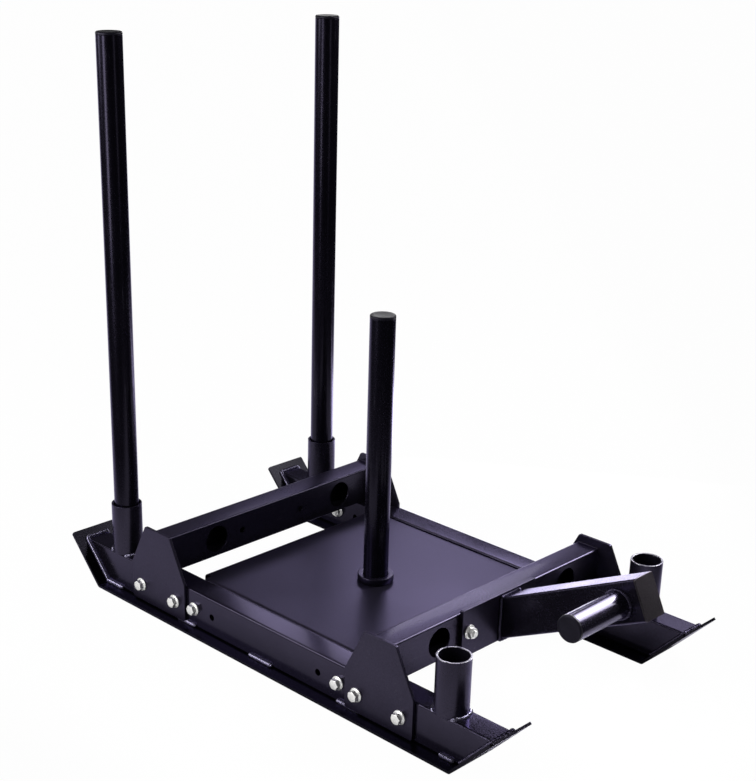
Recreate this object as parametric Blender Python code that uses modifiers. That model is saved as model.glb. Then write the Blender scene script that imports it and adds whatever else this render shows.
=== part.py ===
"""Weight sled: two tubular runners on upturned skid plates, tied by two crossbeams and side gussets.

A folded deck tray carries a weight post between the runners. Two push posts stand in the rear sockets,
the front sockets stay empty, and a bolted bracket holds a rising arm with a side peg at the front.
+X is the front, +Y the left side, +Z up. Sizes are in metres, and the sled stands on z = 0.
"""

import math

import bmesh
import bpy
from mathutils import Matrix, Vector

# Clearances
SEAT_GAP = 0.0003
MITRE_GAP = 0.0005

# Skid plates, bent up at both ends and set a little forward of the bolt holes' middle
SKID_FORWARD = 0.005
SKID_WIDTH = 0.102
SKID_THICKNESS = 0.005
SKID_FLAT_LENGTH = 0.946
SKID_TIP_LENGTH = 0.124
SKID_TIP_ANGLE = math.radians(47.0)
SKID_BEND_RADIUS = 0.003
SKID_CORNER_CLIP = 0.004

# Runner tubes, one above each skid plate
RUNNER_SPACING = 0.540
RUNNER_WIDTH = 0.050
RUNNER_HEIGHT = 0.075
RUNNER_WALL = 0.003
RUNNER_CORNER_RADIUS = 0.006

# The row of bolt holes through each runner, counted outwards from the middle of the sled
HOLE_FIRST_X = 0.144
HOLE_PITCH = 0.051
HOLE_COUNT = 5
HOLE_DIAMETER = 0.013
TRAY_HOLE = 1
GUSSET_INNER_HOLE = 2
GUSSET_CENTRE_HOLE = 3
GUSSET_OUTER_HOLE = 4

# Gusset plates on the outer faces of the runners
GUSSET_THICKNESS = 0.006
GUSSET_BASE_WIDTH = 0.160
GUSSET_TOP_WIDTH = 0.073
GUSSET_HEIGHT = 0.163
GUSSET_SHOULDER_HEIGHT = 0.077
GUSSET_FOOT_GAP = 0.003
GUSSET_CORNER_RADIUS = 0.005

# Crossbeams, standing on the runners between the gussets
BEAM_WIDTH = 0.050
BEAM_HEIGHT = 0.075
BEAM_WALL = 0.003
BEAM_CORNER_RADIUS = 0.006
BEAM_SET_BACK = 0.013
STRAP_HOLE_DIAMETER = 0.055
REAR_STRAP_HOLES_Y = (-0.160, 0.183)
FRONT_STRAP_HOLES_Y = (-0.162, 0.195)
BRACKET_HOLES_Y = (-0.0925, 0.0675)

# Post sockets, one near each corner
FRONT_SOCKET_X = 0.434
REAR_SOCKET_X = -0.4305
SOCKET_DIAMETER = 0.060
SOCKET_BORE = 0.053
SOCKET_HEIGHT = 0.103
SOCKET_CHAMFER = 0.0008

# Push posts, loose in the rear sockets
PUSH_POST_DIAMETER = 0.0483
PUSH_POST_WALL = 0.003
PUSH_POST_LENGTH = 1.000

# Weight post and the collar at its foot
WEIGHT_POST_DIAMETER = 0.0483
WEIGHT_POST_WALL = 0.003
WEIGHT_POST_LENGTH = 0.526
COLLAR_DIAMETER = 0.070
COLLAR_HEIGHT = 0.0135
COLLAR_CLEARANCE = 0.0005
COLLAR_CHAMFER = 0.001

# End plugs of the round tubes
PLUG_LIP_HEIGHT = 0.005
PLUG_EDGE_RADIUS = 0.003
PLUG_STEM_LENGTH = 0.012
PLUG_STEM_CLEARANCE = 0.0003

# Deck tray, a folded sheet between the runners
TRAY_LENGTH = 0.490
TRAY_THICKNESS = 0.003
TRAY_TOP_DROP = 0.0018
TRAY_BEND_RADIUS = 0.009
TRAY_SIDE_DEPTH = 0.052
TRAY_END_DEPTH = 0.030
TRAY_RELIEF = 0.010

# Bracket plate on the front face of the front crossbeam
BRACKET_THICKNESS = 0.008
BRACKET_EDGES_Y = (-0.111, 0.090)
BRACKET_HEIGHT = 0.094
BRACKET_TOP_RISE = 0.008
BRACKET_CORNER_RADIUS = 0.003

# Arm rising forward from the bracket plate, with its end cap and side peg
ARM_WIDTH = 0.050
ARM_HEIGHT = 0.075
ARM_WALL = 0.003
ARM_CORNER_RADIUS = 0.006
ARM_LENGTH = 0.317
ARM_ANGLE = math.radians(26.0)
ARM_Y = 0.017
ARM_FOOT_DROP = 0.004
ARM_CAP_THICKNESS = 0.004
PEG_DIAMETER = 0.0483
PEG_WALL = 0.003
PEG_LENGTH = 0.129
PEG_FROM_ARM_END = 0.044

# Flanged hex bolts and nuts
SHANK_DIAMETER = 0.012
SHANK_TIP_CHAMFER = 0.001
HEX_ACROSS_FLATS = 0.018
HEAD_HEIGHT = 0.012
NUT_HEIGHT = 0.012
FLANGE_DIAMETER = 0.026
FLANGE_TOP_DIAMETER = 0.017
FLANGE_RIM_HEIGHT = 0.0018
FLANGE_HEIGHT = 0.0042
THREAD_CLEARANCE = 0.0003
BOLT_PROTRUSION = 0.004

# Facets of round shapes
PIPE_STEPS = 28
FASTENER_STEPS = 12
HOLE_STEPS = 12
STRAP_HOLE_STEPS = 28
CORNER_STEPS = 3
BEND_STEPS = 4
SMOOTH_ANGLE = math.radians(40.0)

# Heights of the stacked pieces, from the floor up
RUNNER_BOTTOM_Z = SKID_THICKNESS + SEAT_GAP
RUNNER_MIDDLE_Z = RUNNER_BOTTOM_Z + RUNNER_HEIGHT / 2
RUNNER_TOP_Z = RUNNER_BOTTOM_Z + RUNNER_HEIGHT
BEAM_MIDDLE_Z = RUNNER_TOP_Z + SEAT_GAP + BEAM_HEIGHT / 2
TRAY_TOP_Z = RUNNER_TOP_Z - TRAY_TOP_DROP
POST_FOOT_Z = RUNNER_TOP_Z + SEAT_GAP

# Places along and across the sled
RUNNER_Y = RUNNER_SPACING / 2
RUNNER_INNER_Y = RUNNER_Y - RUNNER_WIDTH / 2
RUNNER_OUTER_Y = RUNNER_Y + RUNNER_WIDTH / 2
GUSSET_X = HOLE_FIRST_X + GUSSET_CENTRE_HOLE * HOLE_PITCH
FRONT_BEAM_X = GUSSET_X - BEAM_SET_BACK
REAR_BEAM_X = -GUSSET_X - BEAM_SET_BACK
BRACKET_BACK_X = FRONT_BEAM_X + BEAM_WIDTH / 2 + SEAT_GAP
ARM_FOOT_X = BRACKET_BACK_X + BRACKET_THICKNESS + SEAT_GAP
ARM_FOOT_Z = BEAM_MIDDLE_Z - ARM_FOOT_DROP

# The bounding box runs from the rear skid tips to the lower corner of the arm's end cap
ARM_REACH = (ARM_LENGTH + SEAT_GAP + ARM_CAP_THICKNESS) * math.cos(ARM_ANGLE)
FRONT_END_X = ARM_FOOT_X + ARM_REACH + ARM_HEIGHT / 2 * math.sin(ARM_ANGLE)
REAR_END_X = SKID_FORWARD - SKID_FLAT_LENGTH / 2 - SKID_TIP_LENGTH * math.cos(SKID_TIP_ANGLE)
ORIGIN_X = (FRONT_END_X + REAR_END_X) / 2

SIDES = {"left": 1, "right": -1}
ENDS = {"front": 1, "rear": -1}
SOCKET_X = {"front": FRONT_SOCKET_X, "rear": REAR_SOCKET_X}

# Turns: a section drawn in XY laid across the X axis, and an upright shape laid along X or Y
SECTION_ALONG_X = Matrix(((0, 0, 1, 0), (1, 0, 0, 0), (0, 1, 0, 0), (0, 0, 0, 1)))
ALONG_X = Matrix.Rotation(math.radians(90.0), 4, "Y")
ALONG_Y = Matrix.Rotation(math.radians(90.0), 4, "X")

BLACK = (0.018, 0.017, 0.022)
DEEP_BLACK = (0.012, 0.012, 0.014)
ZINC = (0.72, 0.73, 0.75)


def clear_scene():
    for obj in list(bpy.data.objects):
        bpy.data.objects.remove(obj)


def new_collection(name):
    collection = bpy.data.collections.new(name)
    bpy.context.scene.collection.children.link(collection)
    return collection


def make_material(name, colour, roughness, metallic):
    material = bpy.data.materials.new(name)
    material.use_nodes = True
    shader = material.node_tree.nodes["Principled BSDF"]
    shader.inputs["Base Color"].default_value = (*colour, 1.0)
    shader.inputs["Roughness"].default_value = roughness
    shader.inputs["Metallic"].default_value = metallic
    material.diffuse_color = (*colour, 1.0)
    return material


def add_part(name, mesh, material, location=(0.0, 0.0, 0.0), parent=None):
    """Adds one piece of the sled, under the root empty or under the piece that carries it."""
    obj = bpy.data.objects.new(name, mesh)
    parts.objects.link(obj)
    obj.parent = parent or root
    obj.location = location
    if not mesh.materials:
        mesh.materials.append(material)
    return obj


def smooth(mesh):
    mesh.shade_smooth()
    mesh.set_sharp_from_angle(angle=SMOOTH_ANGLE)
    return mesh


def baked_mesh(obj):
    """Turns an object with its modifiers, or a curve, into one welded mesh, and removes the object."""
    graph = bpy.context.evaluated_depsgraph_get()
    mesh = bpy.data.meshes.new_from_object(obj.evaluated_get(graph))
    shape = bmesh.new()
    shape.from_mesh(mesh)
    bmesh.ops.remove_doubles(shape, verts=shape.verts, dist=1e-6)
    bmesh.ops.recalc_face_normals(shape, faces=shape.faces)
    shape.to_mesh(mesh)
    shape.free()
    mesh.materials.clear()
    bpy.data.objects.remove(obj)
    return mesh


def arc(centre, radius, start, end, steps):
    """Points on an arc, both ends included, with angles in radians."""
    points = []
    for i in range(steps + 1):
        angle = start + (end - start) * i / steps
        points.append((centre[0] + radius * math.cos(angle), centre[1] + radius * math.sin(angle)))
    return points


def circle(centre, diameter, steps):
    return arc(centre, diameter / 2, 0.0, 2 * math.pi, steps)[:-1]


def rounded_outline(corners, radius):
    """Rounds each corner of a convex outline that runs anticlockwise."""
    points = []
    count = len(corners)
    for i, corner in enumerate(corners):
        before = corners[i - 1]
        after = corners[(i + 1) % count]
        heading_in = math.atan2(corner[1] - before[1], corner[0] - before[0])
        heading_out = math.atan2(after[1] - corner[1], after[0] - corner[0])
        turn = (heading_out - heading_in) % (2 * math.pi)
        back = radius * math.tan(turn / 2)
        start_x = corner[0] - back * math.cos(heading_in)
        start_y = corner[1] - back * math.sin(heading_in)
        centre_x = start_x - radius * math.sin(heading_in)
        centre_y = start_y + radius * math.cos(heading_in)
        first = heading_in - math.pi / 2
        points += arc((centre_x, centre_y), radius, first, first + turn, CORNER_STEPS)
    return points


def rectangle(width, height, radius):
    corners = [
        (-width / 2, -height / 2),
        (width / 2, -height / 2),
        (width / 2, height / 2),
        (-width / 2, height / 2),
    ]
    return rounded_outline(corners, radius)


def outline_mesh(name, loops, thickness):
    """A flat outline in XY, with any inner loops left open, extruded evenly to both sides along Z."""
    curve = bpy.data.curves.new(name, "CURVE")
    curve.dimensions = "2D"
    curve.fill_mode = "BOTH"
    curve.extrude = thickness / 2
    for loop in loops:
        spline = curve.splines.new("POLY")
        spline.points.add(len(loop) - 1)
        for point, (x, y) in zip(spline.points, loop):
            point.co = (x, y, 0.0, 1.0)
        spline.use_cyclic_u = True
    obj = bpy.data.objects.new(name, curve)
    bpy.context.scene.collection.objects.link(obj)
    mesh = baked_mesh(obj)
    mesh.name = name
    bpy.data.curves.remove(curve)
    return smooth(mesh)


def rectangular_tube(name, width, height, wall, radius, stations):
    """A tube of rounded rectangular section along X, with an edge loop at each station.

    Its width lies along Y and its height along Z.
    """
    shape = bmesh.new()
    rings = []
    for x in stations:
        rings.append([shape.verts.new((x, y, z)) for y, z in rectangle(width, height, radius)])
    for rear, front in zip(rings, rings[1:]):
        for i in range(len(rear)):
            shape.faces.new((rear[i - 1], rear[i], front[i], front[i - 1]))
    mesh = bpy.data.meshes.new(name)
    shape.to_mesh(mesh)
    shape.free()
    obj = bpy.data.objects.new(name, mesh)
    bpy.context.scene.collection.objects.link(obj)
    skin = obj.modifiers.new("wall", "SOLIDIFY")
    skin.thickness = wall
    skin.offset = -1.0
    skin.use_even_offset = True
    tube = baked_mesh(obj)
    tube.name = name
    bpy.data.meshes.remove(mesh)
    return smooth(tube)


def turned_mesh(name, profile, steps, closed):
    """Turns a profile of (radius, height) points about Z. A closed profile makes a ring."""
    mesh = bpy.data.meshes.new(name)
    points = [(radius, 0.0, height) for radius, height in profile]
    edges = [(i, i + 1) for i in range(len(points) - 1)]
    if closed:
        edges.append((len(points) - 1, 0))
    mesh.from_pydata(points, edges, [])
    obj = bpy.data.objects.new(name, mesh)
    bpy.context.scene.collection.objects.link(obj)
    screw = obj.modifiers.new("turn", "SCREW")
    screw.steps = steps
    screw.render_steps = steps
    screw.use_merge_vertices = True
    screw.merge_threshold = 0.00001
    turned = baked_mesh(obj)
    turned.name = name
    bpy.data.meshes.remove(mesh)
    return smooth(turned)


def pipe_mesh(name, diameter, wall, length):
    """A round tube standing on z = 0."""
    outer = diameter / 2
    inner = outer - wall
    profile = [(inner, length), (outer, length), (outer, 0.0), (inner, 0.0)]
    return turned_mesh(name, profile, PIPE_STEPS, closed=True)


def plug_mesh(name, diameter, wall):
    """A tube's end plug: a lip with a rounded edge above z = 0 and a stem inside the tube below it."""
    lip = diameter / 2
    stem = lip - wall - PLUG_STEM_CLEARANCE
    shoulder = PLUG_LIP_HEIGHT - PLUG_EDGE_RADIUS
    edge = arc((lip - PLUG_EDGE_RADIUS, shoulder), PLUG_EDGE_RADIUS, math.pi / 2, 0.0, 2)
    profile = [(0.0, PLUG_LIP_HEIGHT), *edge, (lip, 0.0), (stem, 0.0)]
    profile += [(stem, -PLUG_STEM_LENGTH), (0.0, -PLUG_STEM_LENGTH)]
    return turned_mesh(name, profile, PIPE_STEPS, closed=False)


def add_cutter(name, mesh, location=(0.0, 0.0, 0.0)):
    cutter = bpy.data.objects.new(name, mesh)
    cutters.objects.link(cutter)
    cutter.parent = root
    cutter.location = location
    cutter.hide_render = True
    cutter.display_type = "WIRE"
    return cutter


def drill_mesh(name, holes, length, turn):
    """Parallel drills as one cutter. Each hole is its centre, diameter and steps, and turn lays it down."""
    shape = bmesh.new()
    for centre, diameter, steps in holes:
        bmesh.ops.create_cone(
            shape,
            cap_ends=True,
            segments=steps,
            radius1=diameter / 2,
            radius2=diameter / 2,
            depth=length,
            matrix=Matrix.Translation(centre) @ turn,
        )
    mesh = bpy.data.meshes.new(name)
    shape.to_mesh(mesh)
    shape.free()
    return mesh


def cut(obj, cutter):
    modifier = obj.modifiers.new(cutter.name, "BOOLEAN")
    modifier.operation = "DIFFERENCE"
    modifier.solver = "EXACT"
    modifier.object = cutter


def hole_x(index):
    return HOLE_FIRST_X + index * HOLE_PITCH


def skid_stations():
    """The underside of a skid plate from the middle to its front tip, as (x, z, half width)."""
    outer_radius = SKID_BEND_RADIUS + SKID_THICKNESS
    tangent = outer_radius * math.tan(SKID_TIP_ANGLE / 2)
    half = SKID_WIDTH / 2
    bend_x = SKID_FLAT_LENGTH / 2
    bottom = -math.pi / 2
    bend = arc((bend_x - tangent, outer_radius), outer_radius, bottom, bottom + SKID_TIP_ANGLE, BEND_STEPS)
    stations = [(0.0, 0.0, half)]
    stations += [(x, z, half) for x, z in bend]
    for along, width in ((SKID_TIP_LENGTH - SKID_CORNER_CLIP, half), (SKID_TIP_LENGTH, half - SKID_CORNER_CLIP)):
        x = bend_x + along * math.cos(SKID_TIP_ANGLE)
        z = along * math.sin(SKID_TIP_ANGLE)
        stations.append((x, z, width))
    return stations


def strip_mesh(name, stations):
    """An open strip across Y through the stations, facing up."""
    shape = bmesh.new()
    rows = []
    for x, z, half in stations:
        rows.append((shape.verts.new((x, -half, z)), shape.verts.new((x, half, z))))
    for (right, left), (next_right, next_left) in zip(rows, rows[1:]):
        shape.faces.new((right, next_right, next_left, left))
    mesh = bpy.data.meshes.new(name)
    shape.to_mesh(mesh)
    shape.free()
    return mesh


def add_skid_plate(name, y):
    """One bent plate: half of its underside, mirrored to the rear and thickened upwards."""
    plate = add_part(name, strip_mesh(name, skid_stations()), skid_coat, (SKID_FORWARD, y, 0.0))
    mirror = plate.modifiers.new("both ends", "MIRROR")
    mirror.merge_threshold = 0.00001
    thick = plate.modifiers.new("plate", "SOLIDIFY")
    thick.thickness = SKID_THICKNESS
    thick.offset = 1.0
    thick.use_even_offset = True


def runner_stations():
    """Edge loops of a runner: its ends, and both sides of the innermost hole at each end."""
    half = SKID_FLAT_LENGTH / 2
    inner = HOLE_FIRST_X - HOLE_PITCH / 2
    outer = HOLE_FIRST_X + HOLE_PITCH / 2
    return [-half, *(place - SKID_FORWARD for place in (-outer, -inner, inner, outer)), half]


def add_runner_tube(name, y, holes):
    """One runner, its ends mitred along the upturned ends of the skid plate."""
    half = SKID_FLAT_LENGTH / 2
    slope = math.tan(SKID_TIP_ANGLE)
    clear = (SKID_THICKNESS + MITRE_GAP) / math.cos(SKID_TIP_ANGLE)
    mesh = rectangular_tube(
        name, RUNNER_WIDTH, RUNNER_HEIGHT, RUNNER_WALL, RUNNER_CORNER_RADIUS, runner_stations()
    )
    for vertex in mesh.vertices:
        if abs(vertex.co.x) > half - SEAT_GAP:
            height = vertex.co.z + RUNNER_MIDDLE_Z
            vertex.co.x = math.copysign(half + (height - clear) / slope, vertex.co.x)
    tube = add_part(name, mesh, runner_coat, (SKID_FORWARD, y, RUNNER_MIDDLE_Z))
    cut(tube, holes)


def add_crossbeam(name, x, strap_holes_y):
    """A beam across both runners, with strap holes and bracket holes through its front and rear faces."""
    ends = (-RUNNER_OUTER_Y, RUNNER_OUTER_Y)
    mesh = rectangular_tube(name, BEAM_WIDTH, BEAM_HEIGHT, BEAM_WALL, BEAM_CORNER_RADIUS, ends)
    mesh.transform(Matrix.Rotation(math.radians(90.0), 4, "Z"))
    place = (x, 0.0, BEAM_MIDDLE_Z)
    beam = add_part(name, mesh, beam_coat, place)
    holes = [((0.0, y, 0.0), STRAP_HOLE_DIAMETER, STRAP_HOLE_STEPS) for y in strap_holes_y]
    holes += [((0.0, y, 0.0), HOLE_DIAMETER, HOLE_STEPS) for y in BRACKET_HOLES_Y]
    drills = drill_mesh(name + "_drills", holes, 2 * BEAM_WIDTH, ALONG_X)
    cut(beam, add_cutter(name + "_drills", drills, place))


def gusset_mesh():
    """The plate's outline in its own XY, x along the sled and y up from the plate's lower edge."""
    half_base = GUSSET_BASE_WIDTH / 2
    half_top = GUSSET_TOP_WIDTH / 2
    corners = [
        (-half_base, 0.0),
        (half_base, 0.0),
        (half_base, GUSSET_SHOULDER_HEIGHT),
        (half_top, GUSSET_HEIGHT),
        (-half_top, GUSSET_HEIGHT),
        (-half_base, GUSSET_SHOULDER_HEIGHT),
    ]
    loops = [rounded_outline(corners, GUSSET_CORNER_RADIUS)]
    bolt_height = RUNNER_MIDDLE_Z - SKID_THICKNESS - GUSSET_FOOT_GAP
    for index in (GUSSET_INNER_HOLE, GUSSET_OUTER_HOLE):
        loops.append(circle((hole_x(index) - GUSSET_X, bolt_height), HOLE_DIAMETER, HOLE_STEPS))
    mesh = outline_mesh("gusset", loops, GUSSET_THICKNESS)
    mesh.transform(Matrix.Rotation(math.radians(90.0), 4, "X"))
    return mesh


def socket_mesh():
    outer = SOCKET_DIAMETER / 2
    inner = SOCKET_BORE / 2
    rim = SOCKET_HEIGHT - SOCKET_CHAMFER
    profile = [
        (inner + SOCKET_CHAMFER, SOCKET_HEIGHT),
        (outer - SOCKET_CHAMFER, SOCKET_HEIGHT),
        (outer, rim),
        (outer, 0.0),
        (inner, 0.0),
        (inner, rim),
    ]
    return turned_mesh("post_socket", profile, PIPE_STEPS, closed=True)


def collar_mesh():
    outer = COLLAR_DIAMETER / 2
    inner = WEIGHT_POST_DIAMETER / 2 + COLLAR_CLEARANCE
    profile = [
        (inner, COLLAR_HEIGHT),
        (outer - COLLAR_CHAMFER, COLLAR_HEIGHT),
        (outer, COLLAR_HEIGHT - COLLAR_CHAMFER),
        (outer, 0.0),
        (inner, 0.0),
    ]
    return turned_mesh("post_collar", profile, PIPE_STEPS, closed=True)


def fold_stations(half, depth):
    """The tray's outer section from one folded edge to the other, as (place, height)."""
    start = half - TRAY_BEND_RADIUS
    side = [(start - TRAY_RELIEF, 0.0)]
    side += arc((start, -TRAY_BEND_RADIUS), TRAY_BEND_RADIUS, math.pi / 2, 0.0, BEND_STEPS)
    side.append((half, -depth))
    mirrored = [(-place, height) for place, height in reversed(side)]
    return mirrored + side


def tray_mesh():
    """The folded sheet's outer surface: a flat top and four flanges, open where both sections fold."""
    along = fold_stations(TRAY_LENGTH / 2, TRAY_END_DEPTH)
    across = fold_stations(RUNNER_INNER_Y - SEAT_GAP, TRAY_SIDE_DEPTH)
    middle = len(along) // 2 - 1
    shape = bmesh.new()
    grid = {}
    for i in range(len(along) - 1):
        for j in range(len(across) - 1):
            if middle not in (i, j):
                continue
            corners = []
            for a, b in ((i, j), (i + 1, j), (i + 1, j + 1), (i, j + 1)):
                if (a, b) not in grid:
                    x, height_x = along[a]
                    y, height_y = across[b]
                    grid[(a, b)] = shape.verts.new((x, y, height_x + height_y))
                corners.append(grid[(a, b)])
            shape.faces.new(corners)
    mesh = bpy.data.meshes.new("deck_tray")
    shape.to_mesh(mesh)
    shape.free()
    return smooth(mesh)


def add_deck_tray():
    tray = add_part("deck_tray", tray_mesh(), tray_coat, (0.0, 0.0, TRAY_TOP_Z))
    sheet = tray.modifiers.new("sheet", "SOLIDIFY")
    sheet.thickness = TRAY_THICKNESS
    sheet.offset = -1.0
    sheet.use_even_offset = True
    place = (0.0, 0.0, RUNNER_MIDDLE_Z)
    holes = [((end * hole_x(TRAY_HOLE), 0.0, 0.0), HOLE_DIAMETER, HOLE_STEPS) for end in ENDS.values()]
    drills = drill_mesh("tray_drills", holes, 2 * RUNNER_Y, ALONG_Y)
    cut(tray, add_cutter("tray_drills", drills, place))


def add_plugged_pipe(name, plug_name, place, size, material, tilt=0.0):
    """A round tube with its plug. Size is its diameter, wall and length, and tilt turns it about X."""
    diameter, wall, length = size
    pipe = add_part(name, pipe_mesh(name, diameter, wall, length), material, place)
    pipe.rotation_euler = (tilt, 0.0, 0.0)
    add_part(plug_name, plug_mesh(plug_name, diameter, wall), plug_plastic, (0.0, 0.0, length + SEAT_GAP), pipe)


def add_bracket_plate():
    """The plate's outline in its own XY, x across the sled and y up, stood up on the beam's face."""
    right, left = BRACKET_EDGES_Y
    top = BEAM_HEIGHT / 2 + BRACKET_TOP_RISE
    bottom = top - BRACKET_HEIGHT
    corners = [(right, bottom), (left, bottom), (left, top), (right, top)]
    loops = [rounded_outline(corners, BRACKET_CORNER_RADIUS)]
    loops += [circle((y, 0.0), HOLE_DIAMETER, HOLE_STEPS) for y in BRACKET_HOLES_Y]
    mesh = outline_mesh("bracket_plate", loops, BRACKET_THICKNESS)
    mesh.transform(SECTION_ALONG_X)
    place = (BRACKET_BACK_X + BRACKET_THICKNESS / 2, 0.0, BEAM_MIDDLE_Z)
    add_part("bracket_plate", mesh, bracket_coat, place)


def add_arm():
    """The arm, cut off upright where it meets the bracket plate, with its end cap and its side peg."""
    ends = (0.0, ARM_LENGTH)
    mesh = rectangular_tube("arm_tube", ARM_WIDTH, ARM_HEIGHT, ARM_WALL, ARM_CORNER_RADIUS, ends)
    for vertex in mesh.vertices:
        if vertex.co.x < ARM_LENGTH / 2:
            vertex.co.x = vertex.co.z * math.tan(ARM_ANGLE)
    arm = add_part("arm_tube", mesh, arm_coat, (ARM_FOOT_X, ARM_Y, ARM_FOOT_Z))
    arm.rotation_euler = (0.0, -ARM_ANGLE, 0.0)

    cap_outline = rectangle(ARM_WIDTH, ARM_HEIGHT, ARM_CORNER_RADIUS)
    cap_mesh = outline_mesh("arm_end_cap", [cap_outline], ARM_CAP_THICKNESS)
    cap_mesh.transform(SECTION_ALONG_X)
    cap_x = ARM_LENGTH + SEAT_GAP + ARM_CAP_THICKNESS / 2
    add_part("arm_end_cap", cap_mesh, arm_coat, (cap_x, 0.0, 0.0), arm)

    along = ARM_LENGTH - PEG_FROM_ARM_END
    peg_x = ARM_FOOT_X + along * math.cos(ARM_ANGLE)
    peg_z = ARM_FOOT_Z + along * math.sin(ARM_ANGLE)
    peg_foot = (peg_x, ARM_Y - ARM_WIDTH / 2 - SEAT_GAP, peg_z)
    size = (PEG_DIAMETER, PEG_WALL, PEG_LENGTH)
    add_plugged_pipe("peg_tube", "peg_cap", peg_foot, size, arm_coat, math.radians(90.0))


def hexagon_drum(name, height, overlap):
    """A hexagonal drum over z = 0 that reaches a little way into the flange below it."""
    shape = bmesh.new()
    radius = HEX_ACROSS_FLATS / math.sqrt(3.0)
    bmesh.ops.create_cone(
        shape,
        cap_ends=True,
        segments=6,
        radius1=radius,
        radius2=radius,
        depth=height - overlap,
        matrix=Matrix.Translation((0.0, 0.0, (height + overlap) / 2)),
    )
    mesh = bpy.data.meshes.new(name)
    shape.to_mesh(mesh)
    shape.free()
    return mesh


def joined_to_drum(name, turned, height):
    """The turned body of a fastener joined to its hexagonal drum."""
    body = bpy.data.objects.new(name, turned)
    drum = bpy.data.objects.new(name + "_drum", hexagon_drum(name + "_drum", height, FLANGE_RIM_HEIGHT))
    bpy.context.scene.collection.objects.link(body)
    bpy.context.scene.collection.objects.link(drum)
    union = body.modifiers.new("drum", "BOOLEAN")
    union.operation = "UNION"
    union.solver = "EXACT"
    union.object = drum
    bpy.context.view_layer.update()
    mesh = baked_mesh(body)
    mesh.name = name
    bpy.data.objects.remove(drum)
    return smooth(mesh)


def flange_profile():
    rim = FLANGE_DIAMETER / 2
    return [(0.0, FLANGE_HEIGHT), (FLANGE_TOP_DIAMETER / 2, FLANGE_HEIGHT), (rim, FLANGE_RIM_HEIGHT), (rim, 0.0)]


def bolt_mesh(name, grip):
    """A flanged bolt with its head above z = 0 and its shank below, long enough for the nut."""
    shank = SHANK_DIAMETER / 2
    tip = -(grip + NUT_HEIGHT + BOLT_PROTRUSION)
    profile = [*flange_profile(), (shank, 0.0)]
    profile += [(shank, tip + SHANK_TIP_CHAMFER), (shank - SHANK_TIP_CHAMFER, tip), (0.0, tip)]
    return joined_to_drum(name, turned_mesh(name, profile, FASTENER_STEPS, closed=False), HEAD_HEIGHT)


def nut_mesh(name):
    """A flanged nut standing on z = 0, bored through."""
    profile = [*flange_profile(), (0.0, 0.0)]
    solid = joined_to_drum(name, turned_mesh(name, profile, FASTENER_STEPS, closed=False), NUT_HEIGHT)
    nut = bpy.data.objects.new(name, solid)
    bpy.context.scene.collection.objects.link(nut)
    drill = bmesh.new()
    bore = SHANK_DIAMETER / 2 + THREAD_CLEARANCE
    bmesh.ops.create_cone(
        drill,
        cap_ends=True,
        segments=FASTENER_STEPS,
        radius1=bore,
        radius2=bore,
        depth=4 * NUT_HEIGHT,
    )
    drill_data = bpy.data.meshes.new(name + "_bore")
    drill.to_mesh(drill_data)
    drill.free()
    cutter = bpy.data.objects.new(name + "_bore", drill_data)
    bpy.context.scene.collection.objects.link(cutter)
    cut(nut, cutter)
    bpy.context.view_layer.update()
    mesh = baked_mesh(nut)
    mesh.name = name
    bpy.data.objects.remove(cutter)
    return smooth(mesh)


def add_fastener(name, bolt, seat, grip, direction):
    """A bolt with its head on the seat, facing the direction, and its nut at the far end of the grip."""
    turn = direction.to_track_quat("Z", "Y")
    bolt_place = Vector(seat) + SEAT_GAP * direction
    nut_place = Vector(seat) - (grip + SEAT_GAP) * direction
    flip = Matrix.Rotation(math.pi, 3, "X").to_quaternion()
    for kind, mesh, place, pose in (
        ("bolt", bolt, bolt_place, turn),
        ("nut", flanged_nut, nut_place, turn @ flip),
    ):
        piece = add_part(f"{kind}_{name}", mesh, fastener_zinc, place)
        piece.rotation_mode = "QUATERNION"
        piece.rotation_quaternion = pose


def add_side_fasteners():
    """Three bolts at each corner: one through the tray's flange, two through the gusset."""
    gusset_grip = GUSSET_THICKNESS + SEAT_GAP + RUNNER_WIDTH
    tray_grip = RUNNER_WIDTH + SEAT_GAP + TRAY_THICKNESS
    gusset_seat = RUNNER_OUTER_Y + SEAT_GAP + GUSSET_THICKNESS
    gusset_bolt = bolt_mesh("gusset_bolt", gusset_grip)
    tray_bolt = bolt_mesh("tray_bolt", tray_grip)
    for side, across in SIDES.items():
        for end, along in ENDS.items():
            for hole, index, bolt, seat, grip in (
                ("tray", TRAY_HOLE, tray_bolt, RUNNER_OUTER_Y, tray_grip),
                ("gusset_inner", GUSSET_INNER_HOLE, gusset_bolt, gusset_seat, gusset_grip),
                ("gusset_outer", GUSSET_OUTER_HOLE, gusset_bolt, gusset_seat, gusset_grip),
            ):
                place = (along * hole_x(index), across * seat, RUNNER_MIDDLE_Z)
                add_fastener(f"{hole}_{end}_{side}", bolt, place, grip, Vector((0.0, across, 0.0)))


def add_bracket_fasteners():
    """Two bolts from behind the front crossbeam, with their nuts on the bracket plate."""
    grip = BEAM_WIDTH + SEAT_GAP + BRACKET_THICKNESS
    bolt = bolt_mesh("bracket_bolt", grip)
    back = FRONT_BEAM_X - BEAM_WIDTH / 2
    for side, y in zip(("right", "left"), BRACKET_HOLES_Y):
        add_fastener(f"bracket_{side}", bolt, (back, y, BEAM_MIDDLE_Z), grip, Vector((-1.0, 0.0, 0.0)))


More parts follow.
